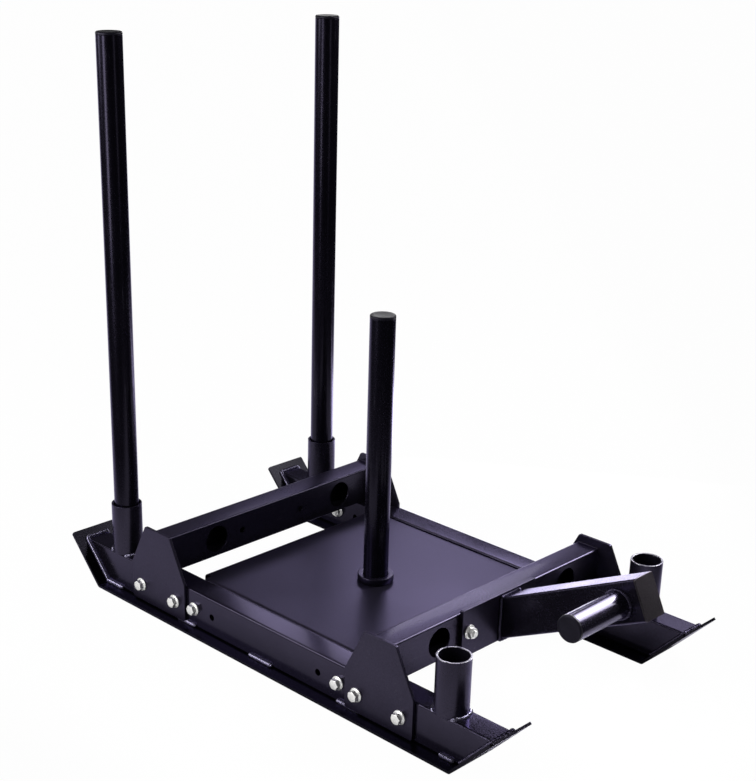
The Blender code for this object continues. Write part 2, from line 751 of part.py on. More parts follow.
def add_runners():
    """Skid plates and runner tubes, drilled from side to side along one row of holes."""
    holes = []
    for end in ENDS.values():
        for index in range(HOLE_COUNT):
            holes.append(((end * hole_x(index), 0.0, 0.0), HOLE_DIAMETER, HOLE_STEPS))
    row = drill_mesh("runner_drills", holes, 2 * RUNNER_WIDTH, ALONG_Y)
    for side, across in SIDES.items():
        add_skid_plate(f"skid_plate_{side}", across * RUNNER_Y)
        cutter = add_cutter(f"runner_drills_{side}", row, (0.0, across * RUNNER_Y, RUNNER_MIDDLE_Z))
        add_runner_tube(f"runner_tube_{side}", across * RUNNER_Y, cutter)


def add_corner_pieces():
    """A socket on each end of the runners, and a gusset outside each end of the crossbeams."""
    socket = socket_mesh()
    gusset = gusset_mesh()
    gusset_y = RUNNER_OUTER_Y + SEAT_GAP + GUSSET_THICKNESS / 2
    gusset_z = SKID_THICKNESS + GUSSET_FOOT_GAP
    for side, across in SIDES.items():
        for end, along in ENDS.items():
            socket_place = (SOCKET_X[end], across * RUNNER_Y, POST_FOOT_Z)
            add_part(f"post_socket_{end}_{side}", socket, socket_coat, socket_place)
            gusset_place = (along * GUSSET_X, across * gusset_y, gusset_z)
            add_part(f"gusset_{end}_{side}", gusset, gusset_coat, gusset_place)


def add_push_posts():
    """Each push post slides in its rear socket, so its origin lies on the socket's axis."""
    size = (PUSH_POST_DIAMETER, PUSH_POST_WALL, PUSH_POST_LENGTH)
    for side, across in SIDES.items():
        place = (REAR_SOCKET_X, across * RUNNER_Y, POST_FOOT_Z)
        add_plugged_pipe(f"push_post_{side}", f"push_post_cap_{side}", place, size, push_post_coat)


def add_weight_post():
    foot_z = TRAY_TOP_Z + SEAT_GAP
    size = (WEIGHT_POST_DIAMETER, WEIGHT_POST_WALL, WEIGHT_POST_LENGTH)
    add_part("post_collar", collar_mesh(), collar_coat, (0.0, 0.0, foot_z))
    add_plugged_pipe("weight_post", "weight_post_cap", (0.0, 0.0, foot_z), size, weight_post_coat)


clear_scene()
parts = new_collection("weight_sled")
cutters = new_collection("cutters")
cutters.hide_render = True

root = bpy.data.objects.new("sled_origin", None)
root.location = (-ORIGIN_X, 0.0, 0.0)
parts.objects.link(root)

skid_coat = make_material("skid_coat", BLACK, 0.50, 0.0)
runner_coat = make_material("runner_coat", BLACK, 0.42, 0.0)
gusset_coat = make_material("gusset_coat", BLACK, 0.42, 0.0)
beam_coat = make_material("beam_coat", BLACK, 0.40, 0.0)
socket_coat = make_material("socket_coat", BLACK, 0.38, 0.0)
tray_coat = make_material("tray_coat", BLACK, 0.45, 0.0)
collar_coat = make_material("collar_coat", BLACK, 0.40, 0.0)
bracket_coat = make_material("bracket_coat", BLACK, 0.42, 0.0)
arm_coat = make_material("arm_coat", BLACK, 0.40, 0.0)
push_post_coat = make_material("push_post_coat", BLACK, 0.35, 0.0)
weight_post_coat = make_material("weight_post_coat", BLACK, 0.35, 0.0)
plug_plastic = make_material("plug_plastic", DEEP_BLACK, 0.55, 0.0)
fastener_zinc = make_material("fastener_zinc", ZINC, 0.28, 1.0)

flanged_nut = nut_mesh("flanged_nut")
add_runners()
add_corner_pieces()
add_crossbeam("crossbeam_rear", REAR_BEAM_X, REAR_STRAP_HOLES_Y)
add_crossbeam("crossbeam_front", FRONT_BEAM_X, FRONT_STRAP_HOLES_Y)
add_deck_tray()
add_weight_post()
add_push_posts()
add_bracket_plate()
add_arm()
add_side_fasteners()
add_bracket_fasteners()
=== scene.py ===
"""Weight sled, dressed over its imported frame.

Black powder-coated steel: box-tube runners on bent skid plates, crossbeams and gussets, a folded deck
tray with its weight post, two loose push posts, and a front arm with a side peg, held together by
zinc-plated flanged bolts. +X is the front, +Y the left side and +Z up. Sizes are in metres.
"""

import math

import bmesh
import bpy
from mathutils import Matrix, Vector


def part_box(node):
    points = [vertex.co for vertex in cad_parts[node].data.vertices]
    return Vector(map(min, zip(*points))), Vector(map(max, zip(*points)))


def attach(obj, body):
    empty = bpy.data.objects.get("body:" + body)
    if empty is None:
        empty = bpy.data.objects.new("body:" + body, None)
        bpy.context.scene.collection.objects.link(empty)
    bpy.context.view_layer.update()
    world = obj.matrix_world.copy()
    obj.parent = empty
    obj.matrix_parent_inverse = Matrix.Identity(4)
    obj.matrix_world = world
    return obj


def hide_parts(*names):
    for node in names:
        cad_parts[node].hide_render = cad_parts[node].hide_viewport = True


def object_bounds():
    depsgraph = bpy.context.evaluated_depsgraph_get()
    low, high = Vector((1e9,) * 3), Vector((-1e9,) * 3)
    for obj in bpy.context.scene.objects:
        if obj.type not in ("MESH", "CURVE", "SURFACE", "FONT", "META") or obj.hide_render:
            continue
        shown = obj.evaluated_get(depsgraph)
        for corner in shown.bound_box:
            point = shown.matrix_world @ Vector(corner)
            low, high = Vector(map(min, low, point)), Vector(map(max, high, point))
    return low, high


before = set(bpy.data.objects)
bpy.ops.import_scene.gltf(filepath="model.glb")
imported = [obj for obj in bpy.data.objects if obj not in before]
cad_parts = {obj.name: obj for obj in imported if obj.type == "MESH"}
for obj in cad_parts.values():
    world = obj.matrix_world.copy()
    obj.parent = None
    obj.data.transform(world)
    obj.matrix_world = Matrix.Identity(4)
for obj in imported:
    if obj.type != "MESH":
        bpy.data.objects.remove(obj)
cad_box = [list(corner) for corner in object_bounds()]

# Skid plates. Two flat bars of 5 mm plate lie under the runners, bent up at both ends, with small
# radii on their corners. They slide on the floor, which scuffs the coat away along the underside. Their
# coat colour is painted darker than the tubes', as painted shade along the floor.
SKID_FLAT = 0.946
SKID_HALF = 0.051
SKID_TIP = 0.124
SKID_ANGLE = math.radians(47.0)
SKID_PLATE = 0.005
SKID_BEND = 0.003
SKID_CORNER = 0.004
SKID_EDGE = 0.0007
SKID_WORN = 0.0002
COAT_BLACK = (0.030, 0.026, 0.044)
COAT_RUBBED = (0.075, 0.070, 0.095, 1.0)
COAT_TINT = (0.76, 0.71, 1.0, 1.0)
COAT_FLAKE = 0.85
# The skids' coat colour, painted darker than the tubes': painted shade along the floor.
COAT_SHADED_SKID = (0.006, 0.0055, 0.008)
BARE_STEEL = (0.52, 0.51, 0.56, 1.0)
BARE_PER_METRE = 6000
SHARP_ANGLE = math.radians(35.0)
FLATS_WEIGHT = 90
MERGE_SPAN = 0.00001


class Wire:
    """A socket of a node tree. Arithmetic on wires adds the Math nodes that it stands for."""

    def __init__(self, net, socket):
        self.net = net
        self.socket = socket

    def __getitem__(self, name):
        return Wire(self.net, self.socket.node.outputs[name])

    def maths(self, operation, first, second=0.0, clamp=False):
        settings = {"operation": operation, "use_clamp": clamp}
        return self.net.node("ShaderNodeMath", settings, {0: first, 1: second})

    def __add__(self, other):
        return self.maths("ADD", self, other)

    def __sub__(self, other):
        return self.maths("SUBTRACT", self, other)

    def __rsub__(self, other):
        return self.maths("SUBTRACT", other, self)

    def __mul__(self, other):
        return self.maths("MULTIPLY", self, other)

    def __truediv__(self, other):
        return self.maths("DIVIDE", self, other)

    __radd__ = __add__
    __rmul__ = __mul__

    def held(self):
        """The same value kept between 0 and 1."""
        return self.maths("ADD", self, 0.0, clamp=True)


class Net:
    """A node tree that is wired up one node at a time."""

    def __init__(self, tree):
        self.tree = tree

    def set(self, node, values):
        for name, value in values.items():
            if isinstance(value, Wire):
                self.tree.links.new(value.socket, node.inputs[name])
            else:
                node.inputs[name].default_value = value

    def node(self, kind, settings=None, values=None):
        """A new node: first its settings, then the values or wires of its sockets."""
        node = self.tree.nodes.new(kind)
        for name, value in (settings or {}).items():
            setattr(node, name, value)
        self.set(node, values or {})
        return Wire(self, node.outputs[0])


def noise(net, place, scale, detail=2.0):
    return net.node("ShaderNodeTexNoise", values={"Vector": place, "Scale": scale, "Detail": detail})


def blend(net, share, first, second):
    """A colour between two others."""
    return net.node("ShaderNodeMix", {"data_type": "RGBA"}, {0: share, 6: first, 7: second})[2]


def bump(net, height, depth, strength):
    """Fine relief that only the light sees."""
    return net.node("ShaderNodeBump", values={"Height": height, "Distance": depth, "Strength": strength})


def new_finish(name):
    """A material with its node tree and the place on the piece."""
    material = bpy.data.materials.new(name)
    material.use_nodes = True
    net = Net(material.node_tree)
    return material, net, net.node("ShaderNodeTexCoord")["Object"]


def powder_coat(name, sheen, lanes=(260, 260, 260), peel=0.00002, gloss=0.05, tone=COAT_BLACK,
                scuff_and_glint=COAT_RUBBED, worn_below=None, worn_above=None):
    """Black powder coat with violet mica, fine orange peel, an uneven sheen, pale rubbed marks and painted
    glints.

    Sheen is the roughness, lanes stretch the rub marks along the piece, peel is the depth of the orange
    peel, gloss the share of clear gloss, and tone the coat, which some pieces take lighter as painted light
    or darker as painted shade. scuff_and_glint is the colour of the pale marks: rubbed marks, and on the
    weld beads painted glints. The coat is worn to bare steel below or above the given height.
    """
    material, net, place = new_finish(name)
    cloud = noise(net, place, 9.0, 4.0) - 0.5
    grain = noise(net, place, 430.0) - 0.5
    skin = noise(net, place, 1250.0)
    lane = net.node("ShaderNodeMapping", values={"Vector": place, "Scale": lanes})
    marks = ((noise(net, lane, 1.0, 3.0) - 0.60) * 9).held()
    # Pale rubbed marks; on the weld beads the same marks are painted glints.
    rubs_and_glints = marks * ((noise(net, place, 17.0) - 0.52) * 7).held()
    shade = cloud * 0.5 + grain * 0.9 + 1
    colour = net.node("ShaderNodeMix", {"data_type": "RGBA", "blend_type": "MULTIPLY"},
                      {0: 1.0, 6: (*tone, 1.0), 7: shade})[2]
    colour = blend(net, rubs_and_glints * 0.6, colour, scuff_and_glint)
    roughness = cloud * 0.12 + grain * 0.14 + rubs_and_glints * 0.12 + sheen
    metal = grain * 0.2 + COAT_FLAKE
    if worn_below is not None or worn_above is not None:
        height = net.node("ShaderNodeSeparateXYZ", values={"Vector": place})["Z"]
        into = worn_below - height if worn_above is None else height - worn_above
        bare = (into * BARE_PER_METRE).held() * ((noise(net, lane, 2.0, 4.0) - 0.42) * 8).held()
        colour = blend(net, bare, colour, BARE_STEEL)
        metal = metal + bare * (1 - COAT_FLAKE)
    net.set(net.tree.nodes["Principled BSDF"], {
        "Base Color": colour, "Roughness": roughness, "Metallic": metal,
        "Normal": bump(net, skin + grain * 0.8, peel, 0.8),
        "Specular Tint": COAT_TINT, "Specular IOR Level": 0.30,
        "Coat Weight": gloss, "Coat Roughness": 0.07, "Coat IOR": 1.45,
    })
    return material


def arc(centre, radius, start, end, steps):
    """Points on an arc, both ends included."""
    turns = [start + (end - start) * i / steps for i in range(steps + 1)]
    return [(centre[0] + radius * math.cos(turn), centre[1] + radius * math.sin(turn)) for turn in turns]


def middle(node):
    low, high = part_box(node)
    return (low + high) / 2


def put(name, data, place=(0.0, 0.0, 0.0)):
    """A new object in the scene."""
    thing = bpy.data.objects.new(name, data)
    thing.location = place
    bpy.context.scene.collection.objects.link(thing)
    return thing


def baked(raw):
    """The raw piece with its modifiers and its place as one plain mesh."""
    bpy.context.view_layer.update()
    graph = bpy.context.evaluated_depsgraph_get()
    mesh = bpy.data.meshes.new_from_object(
        raw.evaluated_get(graph), preserve_all_data_layers=True, depsgraph=graph)
    mesh.transform(raw.matrix_world)
    bpy.data.objects.remove(raw)
    return mesh


def flats(raw, keep_sharp=False):
    """Shades the flats flat."""
    normals = raw.modifiers.new("flats", "WEIGHTED_NORMAL")
    normals.keep_sharp = keep_sharp
    normals.weight = FLATS_WEIGHT


def soften(raw, edge):
    """Rounds the sharp edges a little."""
    bevel = raw.modifiers.new("edge", "BEVEL")
    bevel.width = edge
    bevel.segments = 2
    bevel.limit_method = "ANGLE"
    bevel.angle_limit = SHARP_ANGLE
    bevel.use_clamp_overlap = True
    flats(raw, keep_sharp=True)


def sheet_wall(raw, thickness, side):
    """Gives an open skin its thickness, outwards for side 1 and inwards for side -1."""
    wall = raw.modifiers.new("wall", "SOLIDIFY")
    wall.thickness = thickness
    wall.offset = side
    wall.use_even_offset = True


def smooth_mesh(shape, name):
    """The finished faces as a mesh with smooth shading."""
    mesh = bpy.data.meshes.new(name)
    shape.to_mesh(mesh)
    shape.free()
    mesh.shade_smooth()
    return mesh


def fit(name, mesh, material, body, slot, *nodes):
    """A finished piece: it rides on its body, takes the given finish and stands for its nodes. The slot is
    not used.
    """
    mesh.name = name
    mesh.materials.clear()
    mesh.materials.append(material)
    piece = put(name, mesh)
    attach(piece, body)
    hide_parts(*nodes)


def skid_line():
    """The underside from the middle to the front tip, as (x, z, half width)."""
    outer = SKID_BEND + SKID_PLATE
    bend_x = SKID_FLAT / 2
    start = bend_x - outer * math.tan(SKID_ANGLE / 2)
    bend = arc((start, outer), outer, -math.pi / 2, SKID_ANGLE - math.pi / 2, 8)
    line = [(x, z, SKID_HALF) for x, z in [(0.0, 0.0)] + bend]
    corner = arc((SKID_TIP - SKID_CORNER, SKID_HALF - SKID_CORNER), SKID_CORNER, math.pi / 2, 0.0, 6)
    for along, width in corner:
        line.append((bend_x + along * math.cos(SKID_ANGLE), along * math.sin(SKID_ANGLE), width))
    return line


def skid_mesh():
    shape = bmesh.new()
    rows = []
    for x, z, half in skid_line():
        rows.append([shape.verts.new((x, y, z)) for y in (-half, half)])
    for (right, left), (next_right, next_left) in zip(rows, rows[1:]):
        shape.faces.new((right, next_right, next_left, left))
    return smooth_mesh(shape, "skid")


skid_coat = powder_coat("skid_coat", 0.30, lanes=(14, 420, 420), tone=COAT_SHADED_SKID, worn_below=SKID_WORN)
for side in ("left", "right"):
    node = f"skid_plate_{side}"
    raw = put("skid", skid_mesh(), (middle(node).x, middle(node).y, 0.0))
    mirror = raw.modifiers.new("both ends", "MIRROR")
    mirror.merge_threshold = MERGE_SPAN
    sheet_wall(raw, SKID_PLATE, 1)
    soften(raw, SKID_EDGE)
    fit(f"skid_bar_{side}", baked(raw), skid_coat, "sled_frame", "skid_coat", node)

# Runner tubes. Box tube of 50 by 75 mm stands on each skid plate, mitred along its bent ends, with a
# row of five 13 mm bolt holes from side to side near each end.
RUNNER_WIDTH = 0.050
RUNNER_HEIGHT = 0.075
TUBE_WALL = 0.003
TUBE_RADIUS = 0.004
TUBE_EDGE = 0.0004
RUNNER_CROWN = 0.00012
HOLE_FIRST = 0.144
HOLE_PITCH = 0.051
HOLE_COUNT = 5
HOLE_DIAMETER = 0.013
RUNNER_COAT_GAP = 0.0005


def rounded_rectangle(width, height, radius, steps=8, crown=0.0):
    """An outline with rounded corners, whose top may stand a little proud at its middle."""
    points = []
    for x, y, quarter in ((1, 1, 0), (-1, 1, 1), (-1, -1, 2), (1, -1, 3)):
        corner = (x * (width / 2 - radius), y * (height / 2 - radius))
        points += arc(corner, radius, quarter * math.pi / 2, (quarter + 1) * math.pi / 2, steps)
        if crown and quarter == 0:
            points += [(corner[0] * share, height / 2 + crown * (1 - share ** 2))
                       for share in (0.75, 0.5, 0.25, 0.0, -0.25, -0.5, -0.75)]
    return points


def box_tube(width, height, stations, crown=0.0):
    """The open skin of a box tube along X, with a ring at each station."""
    shape = bmesh.new()
    section = rounded_rectangle(width, height, TUBE_RADIUS, crown=crown)
    rings = [[shape.verts.new((x, y, z)) for y, z in section] for x in stations]
    for rear, front in zip(rings, rings[1:]):
        for i in range(len(rear)):
            shape.faces.new((rear[i - 1], rear[i], front[i], front[i - 1]))
    return smooth_mesh(shape, "box_tube")


def node_group(name, inputs):
    """A Geometry Nodes group with a geometry input and output and named sizes."""
    tree = bpy.data.node_groups.new(name, "GeometryNodeTree")
    tree.interface.new_socket("Geometry", in_out="INPUT", socket_type="NodeSocketGeometry")
    for title, kind in inputs.items():
        tree.interface.new_socket(title, in_out="INPUT", socket_type=f"NodeSocket{kind}")
    tree.interface.new_socket("Geometry", in_out="OUTPUT", socket_type="NodeSocketGeometry")
    net = Net(tree)
    return net, net.node("NodeGroupInput")


def close_group(net, geometry, material):
    """Ends a group: copies made real, then the finish."""
    whole = net.node("GeometryNodeRealizeInstances", values={"Geometry": geometry})
    dressed = net.node("GeometryNodeSetMaterial", values={"Geometry": whole, "Material": material})
    end = net.tree.nodes.new("NodeGroupOutput")
    net.set(end, {"Geometry": dressed})
    return net.tree


def use_group(raw, tree, values):
    """Runs a group on the raw piece, each size set by its socket's identifier."""
    modifier = raw.modifiers.new(tree.name, "NODES")
    modifier.node_group = tree
    for socket in tree.interface.items_tree:
        if socket.in_out == "INPUT" and socket.name in values:
            modifier[socket.identifier] = values[socket.name]


def join(net, *parts):
    """Several geometries as one."""
    node = net.tree.nodes.new("GeometryNodeJoinGeometry")
    for part in parts:
        net.tree.links.new(part.socket, node.inputs["Geometry"])
    return Wire(net, node.outputs[0])


def hole_rows_group():
    """Two rows of holes counted outwards from the middle, drilled through along Y."""
    net, inputs = node_group("bolt_hole_rows", {
        "First": "Float", "Pitch": "Float", "Count": "Int", "Diameter": "Float", "Reach": "Float",
        "Middle": "Float", "Finish": "Material",
    })
    drill = net.node("GeometryNodeMeshCylinder", values={
        "Vertices": 40, "Radius": inputs["Diameter"] / 2, "Depth": inputs["Reach"]})
    rows = []
    for end in (1, -1):
        start = net.node("ShaderNodeCombineXYZ", values={"X": inputs["Middle"] + inputs["First"] * end})
        step = net.node("ShaderNodeCombineXYZ", values={"X": inputs["Pitch"] * end})
        rows.append(net.node("GeometryNodeMeshLine", values={
            "Count": inputs["Count"], "Start Location": start, "Offset": step}))
    drills = net.node("GeometryNodeInstanceOnPoints", values={
        "Points": join(net, *rows), "Instance": drill, "Rotation": (math.pi / 2, 0.0, 0.0)})
    drills = net.node("GeometryNodeRealizeInstances", values={"Geometry": drills})
    bored = net.node("GeometryNodeMeshBoolean", {"operation": "DIFFERENCE", "solver": "EXACT"},
                     {"Mesh 1": inputs["Geometry"], "Mesh 2": drills})
    return close_group(net, bored, inputs["Finish"])


runner_coat = powder_coat("runner_coat", 0.18, lanes=(30, 300, 300), peel=0.000006)
hole_rows = hole_rows_group()
for side in ("left", "right"):
    node = f"runner_tube_{side}"
    centre = middle(node)
    mesh = box_tube(RUNNER_WIDTH, RUNNER_HEIGHT, (-SKID_FLAT / 2, SKID_FLAT / 2), crown=RUNNER_CROWN)
    clear = (SKID_PLATE + RUNNER_COAT_GAP) / math.cos(SKID_ANGLE)
    for vertex in mesh.vertices:
        rise = (vertex.co.z + centre.z - clear) / math.tan(SKID_ANGLE)
        vertex.co.x += math.copysign(rise, vertex.co.x)
    raw = put("runner", mesh, centre)
    sheet_wall(raw, TUBE_WALL, -1)
    use_group(raw, hole_rows, {
        "First": HOLE_FIRST, "Pitch": HOLE_PITCH, "Count": HOLE_COUNT, "Diameter": HOLE_DIAMETER,
        "Reach": 2 * RUNNER_WIDTH, "Middle": middle("weight_post").x - centre.x, "Finish": runner_coat})
    soften(raw, TUBE_EDGE)
    fit(f"runner_{side}", baked(raw), runner_coat, "sled_frame", "runner_coat", node)

# Crossbeams. Box tube of 50 by 75 mm lies across both runners, with 55 mm holes for tow straps through
# its front and rear walls and two small holes for the bracket's bolts.
BEAM_HALF = 0.295
BEAM_CROWN = 0.0004
STRAP_HOLE = 0.055
STRAP_HOLES_Y = {"front": (-0.162, 0.195), "rear": (-0.160, 0.183)}
STRAP_HOLE_SLIP = {"front": 0.0, "rear": 0.008}
STRAP_DRILL = 0.03
BRACKET_HOLES_Y = (-0.0925, 0.0675)
BRACKET_DRILL = 0.2


def drilled(raw, holes, turn):
    """Cuts round holes, each a centre, a diameter and a depth, along the turned Z axis."""
    shape = bmesh.new()
    for centre, diameter, depth in holes:
        bmesh.ops.create_cone(
            shape, cap_ends=True, segments=64, radius1=diameter / 2, radius2=diameter / 2, depth=depth,
            matrix=Matrix.Translation(centre) @ turn)
    mesh = bpy.data.meshes.new("drill")
    shape.to_mesh(mesh)
    shape.free()
    cutter = put("drill", mesh)
    bore = raw.modifiers.new("bore", "BOOLEAN")
    bore.operation = "DIFFERENCE"
    bore.solver = "EXACT"
    bore.object = cutter
    return cutter


beam_coat = powder_coat("beam_coat", 0.30, lanes=(300, 30, 300))
for end in ("rear", "front"):
    node = f"crossbeam_{end}"
    centre = middle(node)
    mesh = box_tube(RUNNER_WIDTH, RUNNER_HEIGHT, (-BEAM_HALF, BEAM_HALF), crown=BEAM_CROWN)
    mesh.transform(Matrix.Rotation(math.pi / 2, 4, "Z"))
    raw = put("beam", mesh, centre)
    sheet_wall(raw, TUBE_WALL, -1)
    holes = [((centre.x, y, centre.z), HOLE_DIAMETER, BRACKET_DRILL) for y in BRACKET_HOLES_Y]
    for wall in (1, -1):
        slip = STRAP_HOLE_SLIP[end] * (1 - wall) / 2
        wall_x = centre.x + wall * RUNNER_WIDTH / 2
        holes += [((wall_x, y - slip, centre.z), STRAP_HOLE, STRAP_DRILL) for y in STRAP_HOLES_Y[end]]
    cutter = drilled(raw, holes, Matrix.Rotation(math.pi / 2, 4, "Y"))
    soften(raw, TUBE_EDGE)
    fit(f"beam_{end}", baked(raw), beam_coat, "sled_frame", "beam_coat", node)
    bpy.data.objects.remove(cutter)

# Gusset plates. Four plates of 6 mm stand on the outer faces of the runners, tapered above the
# shoulder, each held by two bolts, and the crossbeams are welded to their inner faces.
GUSSET_PLATE = 0.006
GUSSET_BASE = 0.160
GUSSET_TOP = 0.073
GUSSET_HEIGHT = 0.163
GUSSET_SHOULDER = 0.077
GUSSET_CORNER = 0.005
GUSSET_EDGE = 0.0008
PLATE_MERGE = 0.000001


def rounded_outline(corners, radius, steps=6):
    """Rounds the corners of a convex outline that runs anticlockwise."""
    points = []
    for i, (x, y) in enumerate(corners):
        before = corners[i - 1]
        after = corners[(i + 1) % len(corners)]
        heading = math.atan2(y - before[1], x - before[0])
        turn = (math.atan2(after[1] - y, after[0] - x) - heading) % (2 * math.pi)
        back = radius * math.tan(turn / 2)
        centre = (x - back * math.cos(heading) - radius * math.sin(heading),
                  y - back * math.sin(heading) + radius * math.cos(heading))
        points += arc(centre, radius, heading - math.pi / 2, heading - math.pi / 2 + turn, steps)
    return points


def faced_out(shape, name, place=(0.0, 0.0, 0.0)):
    """A closed shape with its faces turned outwards and its flats shaded flat."""
    bmesh.ops.recalc_face_normals(shape, faces=shape.faces)
    raw = put(name, smooth_mesh(shape, name), place)
    flats(raw)
    return baked(raw)


def plate_mesh(name, loops, thickness, edge):
    """A flat plate in XY with rounded edges, cut from outlines and holes."""
    curve = bpy.data.curves.new(name, "CURVE")
    curve.dimensions = "2D"
    curve.fill_mode = "BOTH"
    curve.extrude = thickness / 2 - edge
    curve.bevel_depth = edge
    curve.bevel_resolution = 2
    curve.offset = -edge
    for loop in loops:
        spline = curve.splines.new("POLY")
        spline.points.add(len(loop) - 1)
        for point, (x, y) in zip(spline.points, loop):
            point.co = (x, y, 0.0, 1.0)
        spline.use_cyclic_u = True
    mesh = baked(put(name, curve))
    shape = bmesh.new()
    shape.from_mesh(mesh)
    bmesh.ops.remove_doubles(shape, verts=shape.verts, dist=PLATE_MERGE)
    return faced_out(shape, name)


def circle(centre, diameter, steps=40):
    return arc(centre, diameter / 2, 0.0, 2 * math.pi, steps)[:-1]


gusset_coat = powder_coat("gusset_coat", 0.33)
half_base = GUSSET_BASE / 2
half_top = GUSSET_TOP / 2
gusset_corners = [
    (-half_base, 0.0), (half_base, 0.0), (half_base, GUSSET_SHOULDER),
    (half_top, GUSSET_HEIGHT), (-half_top, GUSSET_HEIGHT), (-half_base, GUSSET_SHOULDER)]
for side in ("left", "right"):
    for end in ("front", "rear"):
        node = f"gusset_{end}_{side}"
        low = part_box(node)[0]
        centre = middle(node)
        loops = [rounded_outline(gusset_corners, GUSSET_CORNER)]
        for x in (-HOLE_PITCH, HOLE_PITCH):
            loops.append(circle((x, middle("runner_tube_left").z - low.z), HOLE_DIAMETER))
        mesh = plate_mesh("gusset", loops, GUSSET_PLATE, GUSSET_EDGE)
        upright = Matrix.Rotation(math.pi / 2, 4, "X")
        mesh.transform(Matrix.Translation((centre.x, centre.y, low.z)) @ upright)
        fit(f"gusset_plate_{end}_{side}", mesh, gusset_coat, "sled_frame", "gusset_coat", node)

# Post sockets. Four lengths of 60 mm pipe, open at the top and welded upright on the runners' ends.
# The rear pair hold the push posts, and the sawn rims are only lightly deburred.
SOCKET_RADIUS = 0.030
SOCKET_BORE = 0.0265
SOCKET_HEIGHT = 0.103
SOCKET_RIM = 0.0006
SOCKET_FOOT = 0.0004
TURNED_STEPS = 80


def turned(name, profile, place=(0.0, 0.0, 0.0), closed=True):
    """Turns a profile of (radius, height) points, a ring or an open line, about an upright axis."""
    mesh = bpy.data.meshes.new(name)
    points = [(radius, 0.0, height) for radius, height in profile]
    edges = [(i, i + 1) for i in range(len(points) - 1)]
    if closed:
        edges.append((len(points) - 1, 0))
    mesh.from_pydata(points, edges, [])
    raw = put(name, mesh)
    screw = raw.modifiers.new("turn", "SCREW")
    screw.steps = screw.render_steps = TURNED_STEPS
    screw.use_merge_vertices = True
    screw.merge_threshold = MERGE_SPAN
    shape = bmesh.new()
    shape.from_mesh(baked(raw))
    return faced_out(shape, name, place)


def foot_of(node):
    """The middle of a node's underside."""
    return Vector((*middle(node).xy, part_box(node)[0].z))


def rim(outer, inner, height, radius, top=True):
    """The rounded rim of a pipe, from its bore to its outside at the top, or back at the foot."""
    if top:
        line = arc((inner + radius, height - radius), radius, math.pi, math.pi / 2, 4)
        return line + arc((outer - radius, height - radius), radius, math.pi / 2, 0.0, 4)
    line = arc((outer - radius, height + radius), radius, 0.0, -math.pi / 2, 4)
    return line + arc((inner + radius, height + radius), radius, -math.pi / 2, -math.pi, 4)


socket_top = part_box("post_socket_front_left")[1].z
open_socket_coat = powder_coat("open_socket_coat", 0.30, worn_above=socket_top - SOCKET_RIM)
held_socket_coat = powder_coat("held_socket_coat", 0.30)
for side in ("left", "right"):
    for end in ("front", "rear"):
        node = f"post_socket_{end}_{side}"
        foot = foot_of(node)
        profile = rim(SOCKET_RADIUS, SOCKET_BORE, SOCKET_HEIGHT, SOCKET_RIM)
        profile += rim(SOCKET_RADIUS, SOCKET_BORE, 0.0, SOCKET_FOOT, top=False)
        mesh = turned("socket", profile, foot)
        coat = open_socket_coat if end == "front" else held_socket_coat
        fit(f"socket_{end}_{side}", mesh, coat, "sled_frame", "socket_coat", node)

# Push posts. Two pipes of 48.3 mm, a metre long, stand loose in the rear sockets and lift straight out.
# Their semi-gloss coat has faint marks along the pipe and is painted darker than the frame's, as painted
# shade, and a black plastic plug closes each top end.
# The posts' coat colour is painted darker than the frame's: painted shade on the upright pipes.
COAT_SHADED_POSTS = (0.014, 0.012, 0.021)
POST_SHEEN = 0.26
POST_LANES = (420, 420, 12)
PIPE_RADIUS = 0.02415
PIPE_WALL = 0.003
PIPE_RIM = 0.0005
PIPE_FOOT = 0.0008
PUSH_POST_LENGTH = 1.000
SEAT_GAP = 0.0003
PLUG_LIP = 0.005
PLUG_EDGE = 0.0028
PLUG_STEM = 0.012
PLUG_CHAMFER = 0.0003
PLUG_DISH = ((0.0, 0.0008), (0.010, 0.0007), (0.0158, 0.0002), (0.0172, 0.0))


def pipe_profile(length):
    bore = PIPE_RADIUS - PIPE_WALL
    foot = rim(PIPE_RADIUS, bore, 0.0, PIPE_FOOT, top=False)
    return rim(PIPE_RADIUS, bore, length, PIPE_RIM) + foot


def plug_profile(length):
    """The plug's lip over the pipe's end, slightly dished, and its stem inside the bore."""
    stem = PIPE_RADIUS - PIPE_WALL - SEAT_GAP
    foot = length + SEAT_GAP
    top = foot + PLUG_LIP
    dish = [(radius, top - sunk) for radius, sunk in PLUG_DISH]
    edge = arc((PIPE_RADIUS - PLUG_EDGE, top - PLUG_EDGE), PLUG_EDGE, math.pi / 2, 0.0, 6)
    base = [(PIPE_RADIUS, foot + PLUG_CHAMFER), (PIPE_RADIUS - PLUG_CHAMFER, foot), (stem, foot)]
    return dish + edge + base + [(stem, foot - PLUG_STEM), (0.0, foot - PLUG_STEM)]


def moulded_plastic(name):
    """Matt black plastic with a fine spark-eroded grain from its mould."""
    material, net, place = new_finish(name)
    grain = noise(net, place, 900.0, 3.0)
    cloud = noise(net, place, 40.0)
    colour = blend(net, cloud, (0.003, 0.0027, 0.0045, 1.0), (0.010, 0.009, 0.015, 1.0))
    net.set(net.tree.nodes["Principled BSDF"], {
        "Base Color": colour, "Roughness": grain * 0.15 + 0.38,
        "Normal": bump(net, grain, 0.00005, 0.7),
        "Specular Tint": COAT_TINT, "Specular IOR Level": 0.25})
    return material


plug_plastic = moulded_plastic("plug_plastic")
push_post_coat = powder_coat("push_post_coat", POST_SHEEN, lanes=POST_LANES, tone=COAT_SHADED_POSTS)
for side in ("left", "right"):
    node = f"push_post_{side}"
    foot = foot_of(node)
    mesh = turned("post", pipe_profile(PUSH_POST_LENGTH), foot)
    fit(f"push_pipe_{side}", mesh, push_post_coat, node, "push_post_coat", node)
    mesh = turned("plug", plug_profile(PUSH_POST_LENGTH), foot, closed=False)
    fit(f"push_plug_{side}", mesh, plug_plastic, node, "plug_plastic", f"push_post_cap_{side}")
